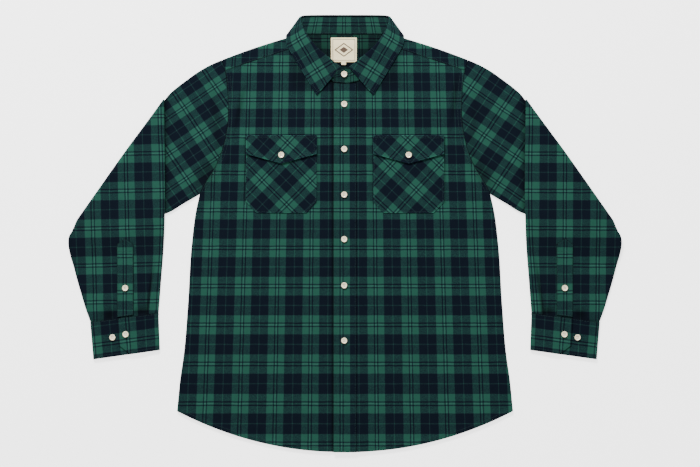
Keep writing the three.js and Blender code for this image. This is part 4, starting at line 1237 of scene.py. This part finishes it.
gauntlet_grid = np.array([on_gauntlet(row) for row in gauntlet_flat])
gauntlet_places = turned_place(gauntlet_grid[..., 0], gauntlet_grid[..., 1], GAUNTLET_CHECK)
around = inset(
    [
        (GAUNTLET_LEFT, GAUNTLET_LOW_Y),
        (GAUNTLET_RIGHT, GAUNTLET_LOW_Y + CUFF_SLOPE * 2 * gauntlet_half),
        (GAUNTLET_RIGHT, GAUNTLET_SHOULDER_Y),
        (gauntlet_middle, GAUNTLET_POINT_Y),
        (GAUNTLET_LEFT, GAUNTLET_SHOULDER_Y),
    ],
    1.7,
)
box_row = around[[4, 2]] - [0, GAUNTLET_BOX_DOWN]
gauntlet_sewing = [on_gauntlet(row, STITCH_LIFT) for row in (all_round(around), dense(box_row))]
for suffix, side in SIDES:
    sewn_on(
        "gauntlet_" + suffix, "sleeve_placket_" + suffix, "sleeve_flannel",
        on_side(side, gauntlet_grid, gauntlet_places), sleeve_flannel,
        "gauntlet_" + suffix, [row * [side, 1, 1] for row in gauntlet_sewing],
        {"flat": (0.0315, 0.149), "held": "laid", "rests_on": ["sleeve_tube_" + suffix]},
    )


# Cuffs
# A stiffer double strip round the end of each sleeve, its buttonhole end lapped over the other.
CUFF_CLOTH = 1.8
CUFF_TOP_INNER = np.array([363.5, -155.2])
CUFF_TOP_OUTER = np.array([496.9, -172.8])
CUFF_LOW_INNER = np.array([360.9, -227])
CUFF_LOW_OUTER = np.array([490.8, -245.2])
CUFF_HEIGHT = 6.4
CUFF_LAP_RISE = 2.2
CUFF_LAP_END = 0.6
CUFF_UNDER_END = 0.42
CUFF_CORNER_CUT = 0.16
CUFF_TALL = 73
CUFF_ROW_HIGH = 1.8
CUFF_ROW_LOW = 5
CUFF_CHECK = {"across": 61.3, "up": 46, "wide": 70, "tall": 72.5}
cuff_flannel = flannel("flannel_cuff", 4)
cuff_width = float(np.linalg.norm(CUFF_TOP_OUTER - CUFF_TOP_INNER))


def cuff_path(lap_end):
    """Across the cuff, 0 at the inner fold and 1 at the outer one, and height, from its lapped end."""
    roll = CUFF_HEIGHT / 2
    roll_share = roll / cuff_width
    lapped = np.linspace(lap_end, roll_share, 26)
    inner_fold = np.radians(np.arange(20, 181, 20))
    below = np.linspace(roll_share, 1 - roll_share, 30)[1:]
    outer_fold = np.radians(np.arange(160, -1, -20))
    under_lap = np.linspace(1 - roll_share, CUFF_UNDER_END, 22)[1:]
    across = [lapped, roll_share * (1 - np.sin(inner_fold)), below]
    across += [1 - roll_share * (1 - np.sin(outer_fold)), under_lap]
    risen = CUFF_HEIGHT + CUFF_LAP_RISE * smooth((lapped - 0.1) / 0.25)
    z = [risen, roll * (1 + np.cos(inner_fold)), 0 * below]
    z += [roll * (1 + np.cos(outer_fold)), CUFF_HEIGHT + 0 * under_lap]
    return np.concatenate(across), np.concatenate(z)


def cuff_lap(down):
    """Where the lapped end is, with its lower corner cut off."""
    return CUFF_LAP_END - CUFF_CORNER_CUT * float(np.clip((down - 0.72) / 0.28, 0, 1))


def cuff_line(across, z, down):
    top = CUFF_TOP_INNER + np.outer(across, CUFF_TOP_OUTER - CUFF_TOP_INNER)
    low = CUFF_LOW_INNER + np.outer(across, CUFF_LOW_OUTER - CUFF_LOW_INNER)
    return np.column_stack([top + (low - top) * down, z])


row_ends = (CUFF_ROW_HIGH / CUFF_TALL, 1 - CUFF_ROW_LOW / CUFF_TALL)
cuff_sewing = []
for down in row_ends:
    across, z = cuff_path(cuff_lap(down) - CUFF_ROW_LOW / cuff_width)
    cuff_sewing.append(cuff_line(across, z + np.where(z > SIDE_ROLL, STITCH_LIFT, STITCH_SINK), down))
lap_top = CUFF_HEIGHT + CUFF_LAP_RISE
cuff_sewing.append(np.vstack([
    cuff_line(np.array([cuff_lap(down) - CUFF_ROW_LOW / cuff_width]), np.array([lap_top + STITCH_LIFT]), down)
    for down in np.linspace(*row_ends, 24)
]))
cuff_rows, cuff_places = [], []
for down in np.linspace(1, 0, 19):
    across, z = cuff_path(cuff_lap(down))
    cuff_rows.append(cuff_line(across, z, down)[::-1])
    u = (across * cuff_width - CUFF_CHECK["across"]) / CUFF_CHECK["wide"]
    v = (CUFF_CHECK["up"] - down * CUFF_TALL) / CUFF_CHECK["tall"] + 0 * across
    cuff_places.append(np.column_stack([u, v])[::-1])
for suffix, side in SIDES:
    sewn_on(
        "cuff_band_" + suffix, "cuff_" + suffix, "cuff_flannel",
        on_side(side, np.array(cuff_rows), np.array(cuff_places)), cuff_flannel,
        "cuff_" + suffix, [row * [side, 1, 1] for row in cuff_sewing],
        {"flat": (0.295, 0.073), "held": "folded", "rests_on": []},
        thickness=CUFF_CLOTH,
    )


# Collar
# The stand is a band sewn to the neck. The leaf is sewn to the stand's top, turns over it and lies on the
# fronts, and at the back it lies face down under the yoke.
COLLAR_CLOTH = 1.6
COLLAR_LAP = 2.2
STAND_SHARE = 0.93
COLLAR = {
    "neckX": [8, 29.5, 53.3, 76, 91, 98.2, 100.4, 101, 96, 80, 42, 0],
    "neckY": [293.4, 299, 315, 334.6, 350.3, 362.4, 374, 383, 388.2, 388.4, 388.4, 388.4],
    "neckZ": [4, 4, 4, 4.2, 4.7, 5, 5.4, 6, 4, 4, 4, 4],
    "rollX": [9, 26.5, 47, 62.6, 75.5, 83.6, 87, 88, 83.5, 70, 38, 0],
    "rollY": [322.5, 336, 352.5, 367.5, 385, 402, 413.5, 419.5, 423, 424, 424.2, 424.2],
    "rollZ": [8.6, 9.8, 10.4, 10.6, 10.4, 9.2, 7.2, 4.8, 2.9, 2.2, 2.2, 2.2],
    "radius": [2.2, 2.6, 3, 3, 3, 2.8, 2.5, 2.2, 2.2, 2.2, 2.2, 2.2],
    "edgeX": [55, 67.5, 82, 96, 107.5, 112.8, 114.8, 114.4, 107, 84, 44, 0],
    "edgeY": [269.5, 290, 313.5, 337, 356.3, 367, 377, 387, 381.5, 377.5, 376, 375.5],
    "edgeZ": [7.5, 7.6, 7.7, 8, 8.8, 9, 9.3, 4.6, 0.7, 0, 0, 0],
    "turn": [0, 0, 0, 0, 0, 16, 50, 96, 150, 180, 180, 180],
    "lap": [1, 0.6, 0.15, 0, 0, 0, 0, 0, 0, 0, 0, 0],
}
STAND_END = {
    "x": [-22, -19, -12, -2],
    "lowY": [295.4, 294.8, 293.9, 293],
    "highY": [307, 314, 318.5, 320.8],
    "rise": [2.0, 2.9, 3.6, 4],
}
STATIONS_PER_STEP = 8
LEAF_CHECK = {"inward": 25.8, "along": 40.2, "wide": 66, "tall": 71.4}
collar_flannel = flannel("flannel_collar", 5, PAINTED_EDGE_HIGHLIGHT)
station_count = 2 * len(COLLAR["neckX"]) - 1
station_index = np.arange(station_count)
station_at = np.linspace(0, station_count - 1, (station_count - 1) * STATIONS_PER_STEP + 1)
collar_at = {}
for key, values in COLLAR.items():
    mirror = -1 if key.endswith("X") else 0 if key == "lap" else 1
    whole = np.array([*values, *[mirror * v for v in values[-2::-1]]], float)
    collar_at[key] = through(station_index, whole, station_at)
raise_by = COLLAR_LAP * collar_at["lap"]
roll_line, edge_line, neck_line = (
    np.column_stack([collar_at[key + axis] for axis in "XYZ"]) for key in ("roll", "edge", "neck")
)
roll_line[:, 2] += raise_by
neck_line[:, 2] += raise_by
leaf_down = unit((edge_line - roll_line) * [1, 1, 0])
half_sign = np.where(np.arange(len(station_at)) < len(station_at) // 2 + 1, 1.0, -1.0)
collar_turn = np.radians(collar_at["turn"])[:, None]
sideways = np.column_stack([-leaf_down[:, 1], leaf_down[:, 0], 0 * half_sign]) * half_sign[:, None]
to_leaf = sideways * np.sin(collar_turn) + np.array([0, 0, 1]) * np.cos(collar_turn)
radius = collar_at["radius"][:, None]
stand_top = roll_line - to_leaf * radius
leaf_top = roll_line + to_leaf * radius
leaf_rows = []
for angle in np.radians(np.arange(25, 181, 12.9)):
    leaf_rows.append(roll_line - to_leaf * radius * math.cos(angle) - leaf_down * radius * math.sin(angle))
for share in np.linspace(0, 1, 15)[1:]:
    leaf_rows.append(leaf_top + (edge_line - leaf_top) * share)
leaf_grid = np.array(leaf_rows)
edge_far = run(edge_line[:, :2])
edge_run = np.minimum(edge_far, edge_far[-1] - edge_far)
edge_way = unit(np.gradient(edge_line[:, :2], axis=0))
leaf_places = []
for row in leaf_grid:
    off = row[:, :2] - edge_line[:, :2]
    forward = (off * edge_way).sum(axis=1) * np.where(edge_run == edge_far, 1, -1)
    inward = np.abs(off[:, 0] * edge_way[:, 1] - off[:, 1] * edge_way[:, 0])
    leaf_places.append(np.column_stack([
        (inward - LEAF_CHECK["inward"]) / LEAF_CHECK["wide"],
        (edge_run + forward - LEAF_CHECK["along"]) / LEAF_CHECK["tall"],
    ]))
leaf_row = np.vstack([leaf_grid[4:-2, 2], leaf_grid[-2, 2:-2], leaf_grid[4:-2, -3][::-1]])
leaf_row[:, 2] += np.where(leaf_row[:, 2] > 2, STITCH_LIFT, STITCH_SINK)
sewn_on(
    "collar_leaf_fold", "collar_leaf", "collar_flannel",
    [(flipped(leaf_grid), flipped(np.array(leaf_places)))], collar_flannel, "collar_leaf", [leaf_row],
    {"flat": (0.47, 0.07), "area": 0.0285, "held": "folded", "rests_on": ["front_panel_left"]},
    thickness=COLLAR_CLOTH,
)
STAND_CHECK = {"along": 2, "wide": 59.5, "low": 0.733, "high": 0.733 + 33 / 72}
STAND_ROW = 0.07


def stand_end(side):
    base = TUBE_HEIGHT - CLOTH + (COLLAR_LAP if side > 0 else 0)
    rise = np.array(STAND_END["rise"]) * (1 if side > 0 else 0.4)
    x = side * np.array(STAND_END["x"], float)
    low = np.column_stack([x, STAND_END["lowY"], base + 0 * x])
    high = np.column_stack([x, STAND_END["highY"], base + rise])
    return low, high


low_left, high_left = stand_end(1)
low_right, high_right = stand_end(-1)
stand_low = np.vstack([low_left, neck_line[::STATIONS_PER_STEP], low_right[::-1]])
stand_high_middle = neck_line + (stand_top - neck_line) * STAND_SHARE
stand_high = np.vstack([high_left, stand_high_middle[::STATIONS_PER_STEP], high_right[::-1]])
stand_index = np.arange(len(stand_low))
stand_at = np.linspace(0, len(stand_low) - 1, (len(stand_low) - 1) * 6 + 1)
fine_low, fine_high = (
    np.column_stack([through(stand_index, line[:, i], stand_at) for i in range(3)])
    for line in (stand_low, stand_high)
)
stand_run = run(fine_low)
stand_u = (stand_run - stand_run[-1] / 2 - STAND_CHECK["along"]) / STAND_CHECK["wide"]
stand_rows, stand_places = [], []
for t in np.linspace(0, 1, 8):
    stand_rows.append(fine_low + (fine_high - fine_low) * t)
    v = STAND_CHECK["low"] + (STAND_CHECK["high"] - STAND_CHECK["low"]) * t
    stand_places.append(np.column_stack([stand_u, v + 0 * stand_u]))


def stand_fading(points, outside):
    """Painted shade inside the neck, most of all by the yoke."""
    back = 0.4 - 0.012 * (points[:, 1] - BACK_NECK_Y)
    return 1 - np.where(points[:, 1] > BACK_SEAM_Y + 70, np.clip(back, 0.1, 0.45), 0.3)


stand_sewing = []
for t in (STAND_ROW, 1 - STAND_ROW):
    line = fine_low + (fine_high - fine_low) * t
    quarter = len(line) // 3
    stand_sewing.append(line[quarter:-quarter] + [0, 0, STITCH_LIFT])
    stand_sewing.append(line[:24] + [0, 0, COLLAR_CLOTH + STITCH_LIFT])
sewn_on(
    "collar_stand_band", "collar_stand", "collar_flannel",
    [(flipped(np.array(stand_rows)), flipped(np.array(stand_places)))],
    body_flannel, "collar_stand", stand_sewing,
    {"flat": (0.47, 0.035), "held": "folded", "rests_on": ["front_panel_right"]},
    thickness=COLLAR_CLOTH, fading=stand_fading,
)


# Labels
# A woven cream label with a plain border and lozenge, and a bare size tab below it, inside the back neck.
LABEL = {"x": -2.2, "y": 358, "width": 50, "height": 47, "rows": 14}
SIZE_TAB = {"x": -2.6, "y": 331.6, "width": 9, "height": 5, "rows": 3}
LABEL_THICKNESS = 1.0
BORDER_AT = 0.43
BORDER_HALF = 0.011
LOZENGE_AT = 0.34
LOZENGE_HALF = 0.034
LOZENGE_LOW = 1.3
CORE_HALF = 0.17
INK_EDGE = 160
CORE_EDGE = 90
LABEL_THREADS = 60
LABEL_CREAM = (0.90, 0.77, 0.47, 1)
LABEL_BROWN = (0.06, 0.028, 0.016, 1)
label_cloth, label_tree, label_shader = new_material("label_weave", Roughness=0.75)
label_place, label_u, label_v = cloth_map(label_tree)
far = label_u.make("MAXIMUM", label_u.size(), label_v.size())
border = (far - BORDER_AT).size().below(BORDER_HALF, INK_EDGE)
lozenge = label_u.size() + label_v.size() * LOZENGE_LOW
shape = (lozenge - LOZENGE_AT).size().below(LOZENGE_HALF, INK_EDGE)
inked = label_u.make("MAXIMUM", border, label_u.make("MAXIMUM", shape, lozenge.below(CORE_HALF, CORE_EDGE)))
grain = label_place.noise(60.0)
ink = (inked * (0.82 + grain * 0.3)).clamped()
mix = {0: ink, 6: LABEL_CREAM, 7: LABEL_BROWN}
label_u.node("ShaderNodeMix", mix, 2, data_type="RGBA").feed(label_shader, "Base Color")
((label_v * (2 * math.pi * LABEL_THREADS)).sine() + grain).bump(label_shader, 0.4, 0.0001)
label_thread = thread("thread_cream", (0.62, 0.52, 0.36))


def label_face(x, y):
    return back_height(x, y) + CLOTH + LAY_GAP + LABEL_THICKNESS


for name, box, node in (("label_patch", LABEL, "label"), ("size_tab_patch", SIZE_TAB, "size_tab")):
    share = np.linspace(-0.5, 0.5, box["rows"])
    su, sv = np.meshgrid(share, share)
    grid = on_face(label_face, box["x"] + box["width"] * su, box["y"] + box["height"] * sv, 0)
    places = np.stack([su, sv], axis=-1)
    if node == "size_tab":
        places = places * 0.1 + 0.33
    half_w, half_h = box["width"] / 2, box["height"] / 2
    around = inset([(-half_w, -half_h), (half_w, -half_h), (half_w, half_h), (-half_w, half_h)], 1.2)
    row = all_round(around) + [box["x"], box["y"]]
    sewn_on(
        name, node, "label_cloth", [(grid, places)], label_cloth, node, [on_face(label_face, *row.T)],
        {
            "flat": (max(box["width"] * MM, 0.01), max(box["height"] * MM, 0.01)),
            "area": box["width"] * box["height"] * MM * MM,
            "held": "laid",
            "rests_on": ["yoke_panel"],
        },
        sewing={"material": label_thread, "Pitch": 2.2, "Length": 1.7, "Width": 0.4},
        thickness=LABEL_THICKNESS,
    )


# Buttons
# Four-hole buttons of cream resin, with a raised rim, sewn on with thread.
BUTTON_HEIGHT = 3
HOLE_RADIUS = 0.8
HOLE_AT = 1.45
BUTTON_COLOURS = [(0.3, (0.88, 0.74, 0.47)), (0.62, (1.0, 0.91, 0.68))]
BUTTON_PROFILE = {
    "r": [0, 4.7, 5.5, 5.9, 5.7, 5.2, 4.6, 4.1, 3.6, 2.1, 0],
    "z": [0, 0, 0.4, 1.35, 2.4, 3.0, 2.85, 2.45, 2.2, 2.0, 1.98],
}
BUTTON_SIDES = 48
HOLE_PROFILE = {"r": [0, HOLE_RADIUS, HOLE_RADIUS, 0], "z": [-1, -1, BUTTON_HEIGHT + 1, BUTTON_HEIGHT + 1]}
HOLE_SIDES = 16
FRONT_BUTTON_X = -1.5
TOP_BUTTON = (FRONT_BUTTON_X, 310, 11.12)
FRONT_BUTTON_YS = [252, 164.4, 75.6, -11.1, -101, -208.4]
FLAP_BUTTON_Y = 153
SLEEVE_BUTTON = (428, -106.2)
CUFF_BUTTON = (427, -196.2)
CUFF_END_BUTTON = (452.9, -202.3)
button_material, button_tree, button_shader = new_material("button_resin", Roughness=0.32, Coat_Weight=0.2)
button_at = Value(button_tree, button_tree.nodes.new("ShaderNodeTexCoord").outputs["Object"])
button_at.noise(260.0, 3.0).ramped(BUTTON_COLOURS).feed(button_shader, "Base Color")


def lathed(name, profile, sides, centres):
    """Round forms with the same profile, whose first and last points are on the axis."""
    vertices, faces = [], []
    profile = list(zip(profile["r"], profile["z"]))
    turns = [2 * math.pi * k / sides for k in range(sides)]
    for x, y in centres:
        first = len(vertices)
        vertices.append((x, y, profile[0][1]))
        for r, z in profile[1:-1]:
            vertices.extend((x + r * math.cos(turn), y + r * math.sin(turn), z) for turn in turns)
        last = len(vertices)
        vertices.append((x, y, profile[-1][1]))
        for k in range(sides):
            after = (k + 1) % sides
            faces.append((first, first + 1 + after, first + 1 + k))
            for low in range(first + 1, last - sides, sides):
                faces.append((low + k, low + after, low + sides + after, low + sides + k))
            faces.append((last - sides + k, last - sides + after, last))
    mesh = bpy.data.meshes.new(name)
    mesh.from_pydata((np.array(vertices) * MM).tolist(), [], faces)
    return placed(name, mesh)


blank = lathed("button_blank", BUTTON_PROFILE, BUTTON_SIDES, [(0, 0)])
four = [(x, y) for x in (-HOLE_AT, HOLE_AT) for y in (-HOLE_AT, HOLE_AT)]
holes = lathed("button_drill", HOLE_PROFILE, HOLE_SIDES, four)
cut = blank.modifiers.new("holes", "BOOLEAN")
cut.operation = "DIFFERENCE"
cut.solver = "EXACT"
cut.object = holes
drilled = evaluated_mesh(blank, "button_drilled")
for tool in (blank, holes):
    bpy.data.objects.remove(tool)
drilled.polygons.foreach_set("use_smooth", [True] * len(drilled.polygons))
drilled.set_sharp_from_angle(angle=math.radians(40))
drilled.materials.clear()
drilled.materials.append(button_material)
button_places = {"button_front_1": TOP_BUTTON}
for i, y in enumerate(FRONT_BUTTON_YS):
    top = float(left_front_face(np.array(FRONT_BUTTON_X), np.array(y))) + LAY_GAP + CLOTH
    button_places[f"button_front_{i + 2}"] = (FRONT_BUTTON_X, y, top + LAY_GAP)
for suffix, side in SIDES:
    x = side * POCKET_X
    tops = {
        "pocket_" + suffix: (POCKET_X, FLAP_BUTTON_Y, float(flap_face(np.array(x), np.array(FLAP_BUTTON_Y)))),
        "sleeve_" + suffix: (*SLEEVE_BUTTON, height_on(*SLEEVE_BUTTON) + GAUNTLET_GAP + CLOTH),
        f"cuff_{suffix}_1": (*CUFF_BUTTON, lap_top),
        f"cuff_{suffix}_2": (*CUFF_END_BUTTON, CUFF_HEIGHT),
    }
    for name, (x, y, top) in tops.items():
        button_places["button_" + name] = (side * x, y, top + LAY_GAP)
for name, place in button_places.items():
    mesh = drilled.copy()
    for vertex in mesh.vertices:
        vertex.co += Vector(place) * MM
    button = placed(name.replace("button_", "disc_"), mesh)
    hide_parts(name)
    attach(button, "root")
bpy.data.meshes.remove(drilled)

BAR_LINE = [(-HOLE_AT, 1.5), (-HOLE_AT + 0.4, 2.1), (HOLE_AT - 0.4, 2.1), (HOLE_AT, 1.5)]
BUTTONHOLE_HALF = 8
BUTTONHOLE_SLIT = 0.9
BUTTONHOLE_LIMIT = 1.3
bars, holes_sewn = [], {"body_flannel": [], "bias_flannel": [], "sleeve_flannel": [], "cuff_flannel": []}
slots = dict(zip(("front", "pocket", "sleeve", "cuff"), holes_sewn))
turn = np.linspace(0, 2 * math.pi, 25)
long_way = BUTTONHOLE_HALF * np.clip(BUTTONHOLE_LIMIT * np.sin(turn), -1, 1)
short_way = BUTTONHOLE_SLIT * np.cos(turn)
for name, (x, y, z) in button_places.items():
    for row_y in (-HOLE_AT, HOLE_AT):
        bars.append([(x + along, y + row_y, z + up) for along, up in BAR_LINE])
    kind = name.split("_")[1]
    if name.startswith("button_cuff") and name.endswith("2"):
        continue
    loop = np.column_stack([short_way, long_way])
    if kind == "cuff" or name == "button_front_1":
        slope = CUFF_SLOPE * np.sign(x) if kind == "cuff" else 0
        loop = np.column_stack([long_way, short_way + slope * long_way])
    level = np.full(len(loop), z - LAY_GAP + STITCH_LIFT)
    holes_sewn[slots[kind]].append(np.column_stack([loop + [x, y], level]))
sewn("thread_bars", bars, "buttons", label_thread, Pitch=0.3, Length=0.75, Width=0.5)
for slot, loops in holes_sewn.items():
    sewn("buttonholes_" + slot.split("_")[0], loops, slot, Pitch=0.5, Length=1.4, Width=0.5, Turn=math.pi / 2)


# Floor, light and camera
# A plain pale floor, one large soft lamp above and a pale sky, and the camera straight above the shirt.
FLOOR_HALF = 6.0
FLOOR_Z = -0.0002
FLOOR_GLOW = 2.2
SKY_STRENGTH = 0.8
LAMP_PLACE = (-0.7, 2.6, 2.2)
LAMP_SIZE = 0.9
LAMP_POWER = 235
CAMERA_PLACE = (0.00975, 0, 3.226)
CAMERA_LENS = 85
CAMERA_SENSOR = 36
floor_mesh = bpy.data.meshes.new("floor")
corners = [(-1, -1), (1, -1), (1, 1), (-1, 1)]
floor_mesh.from_pydata([(x * FLOOR_HALF, y * FLOOR_HALF, FLOOR_Z) for x, y in corners], [], [(0, 1, 2, 3)])
floor_values = {"Base_Color": (0.9, 0.9, 0.9, 1), "Emission_Color": (1, 1, 1, 1)}
floor_paper = new_material("floor_paper", Roughness=0.9, Emission_Strength=FLOOR_GLOW, **floor_values)
floor_mesh.materials.append(floor_paper[0])
floor = placed("floor", floor_mesh)

world = bpy.data.worlds.new("sky")
bpy.context.scene.world = world
world.use_nodes = True
sky = world.node_tree.nodes["Background"]
sky.inputs[0].default_value = (1, 1, 1, 1)
sky.inputs[1].default_value = SKY_STRENGTH
lamp_data = bpy.data.lights.new("lamp", "AREA")
lamp_data.shape = "DISK"
lamp_data.size = LAMP_SIZE
lamp_data.energy = LAMP_POWER
lamp = placed("lamp", lamp_data)
lamp.location = LAMP_PLACE
lamp.rotation_euler = (-Vector(LAMP_PLACE)).to_track_quat("-Z", "Y").to_euler()
camera_data = bpy.data.cameras.new("camera")
camera_data.lens = CAMERA_LENS
camera_data.sensor_width = CAMERA_SENSOR
camera = placed("camera", camera_data)
camera.location = CAMERA_PLACE
bpy.context.scene.camera = camera
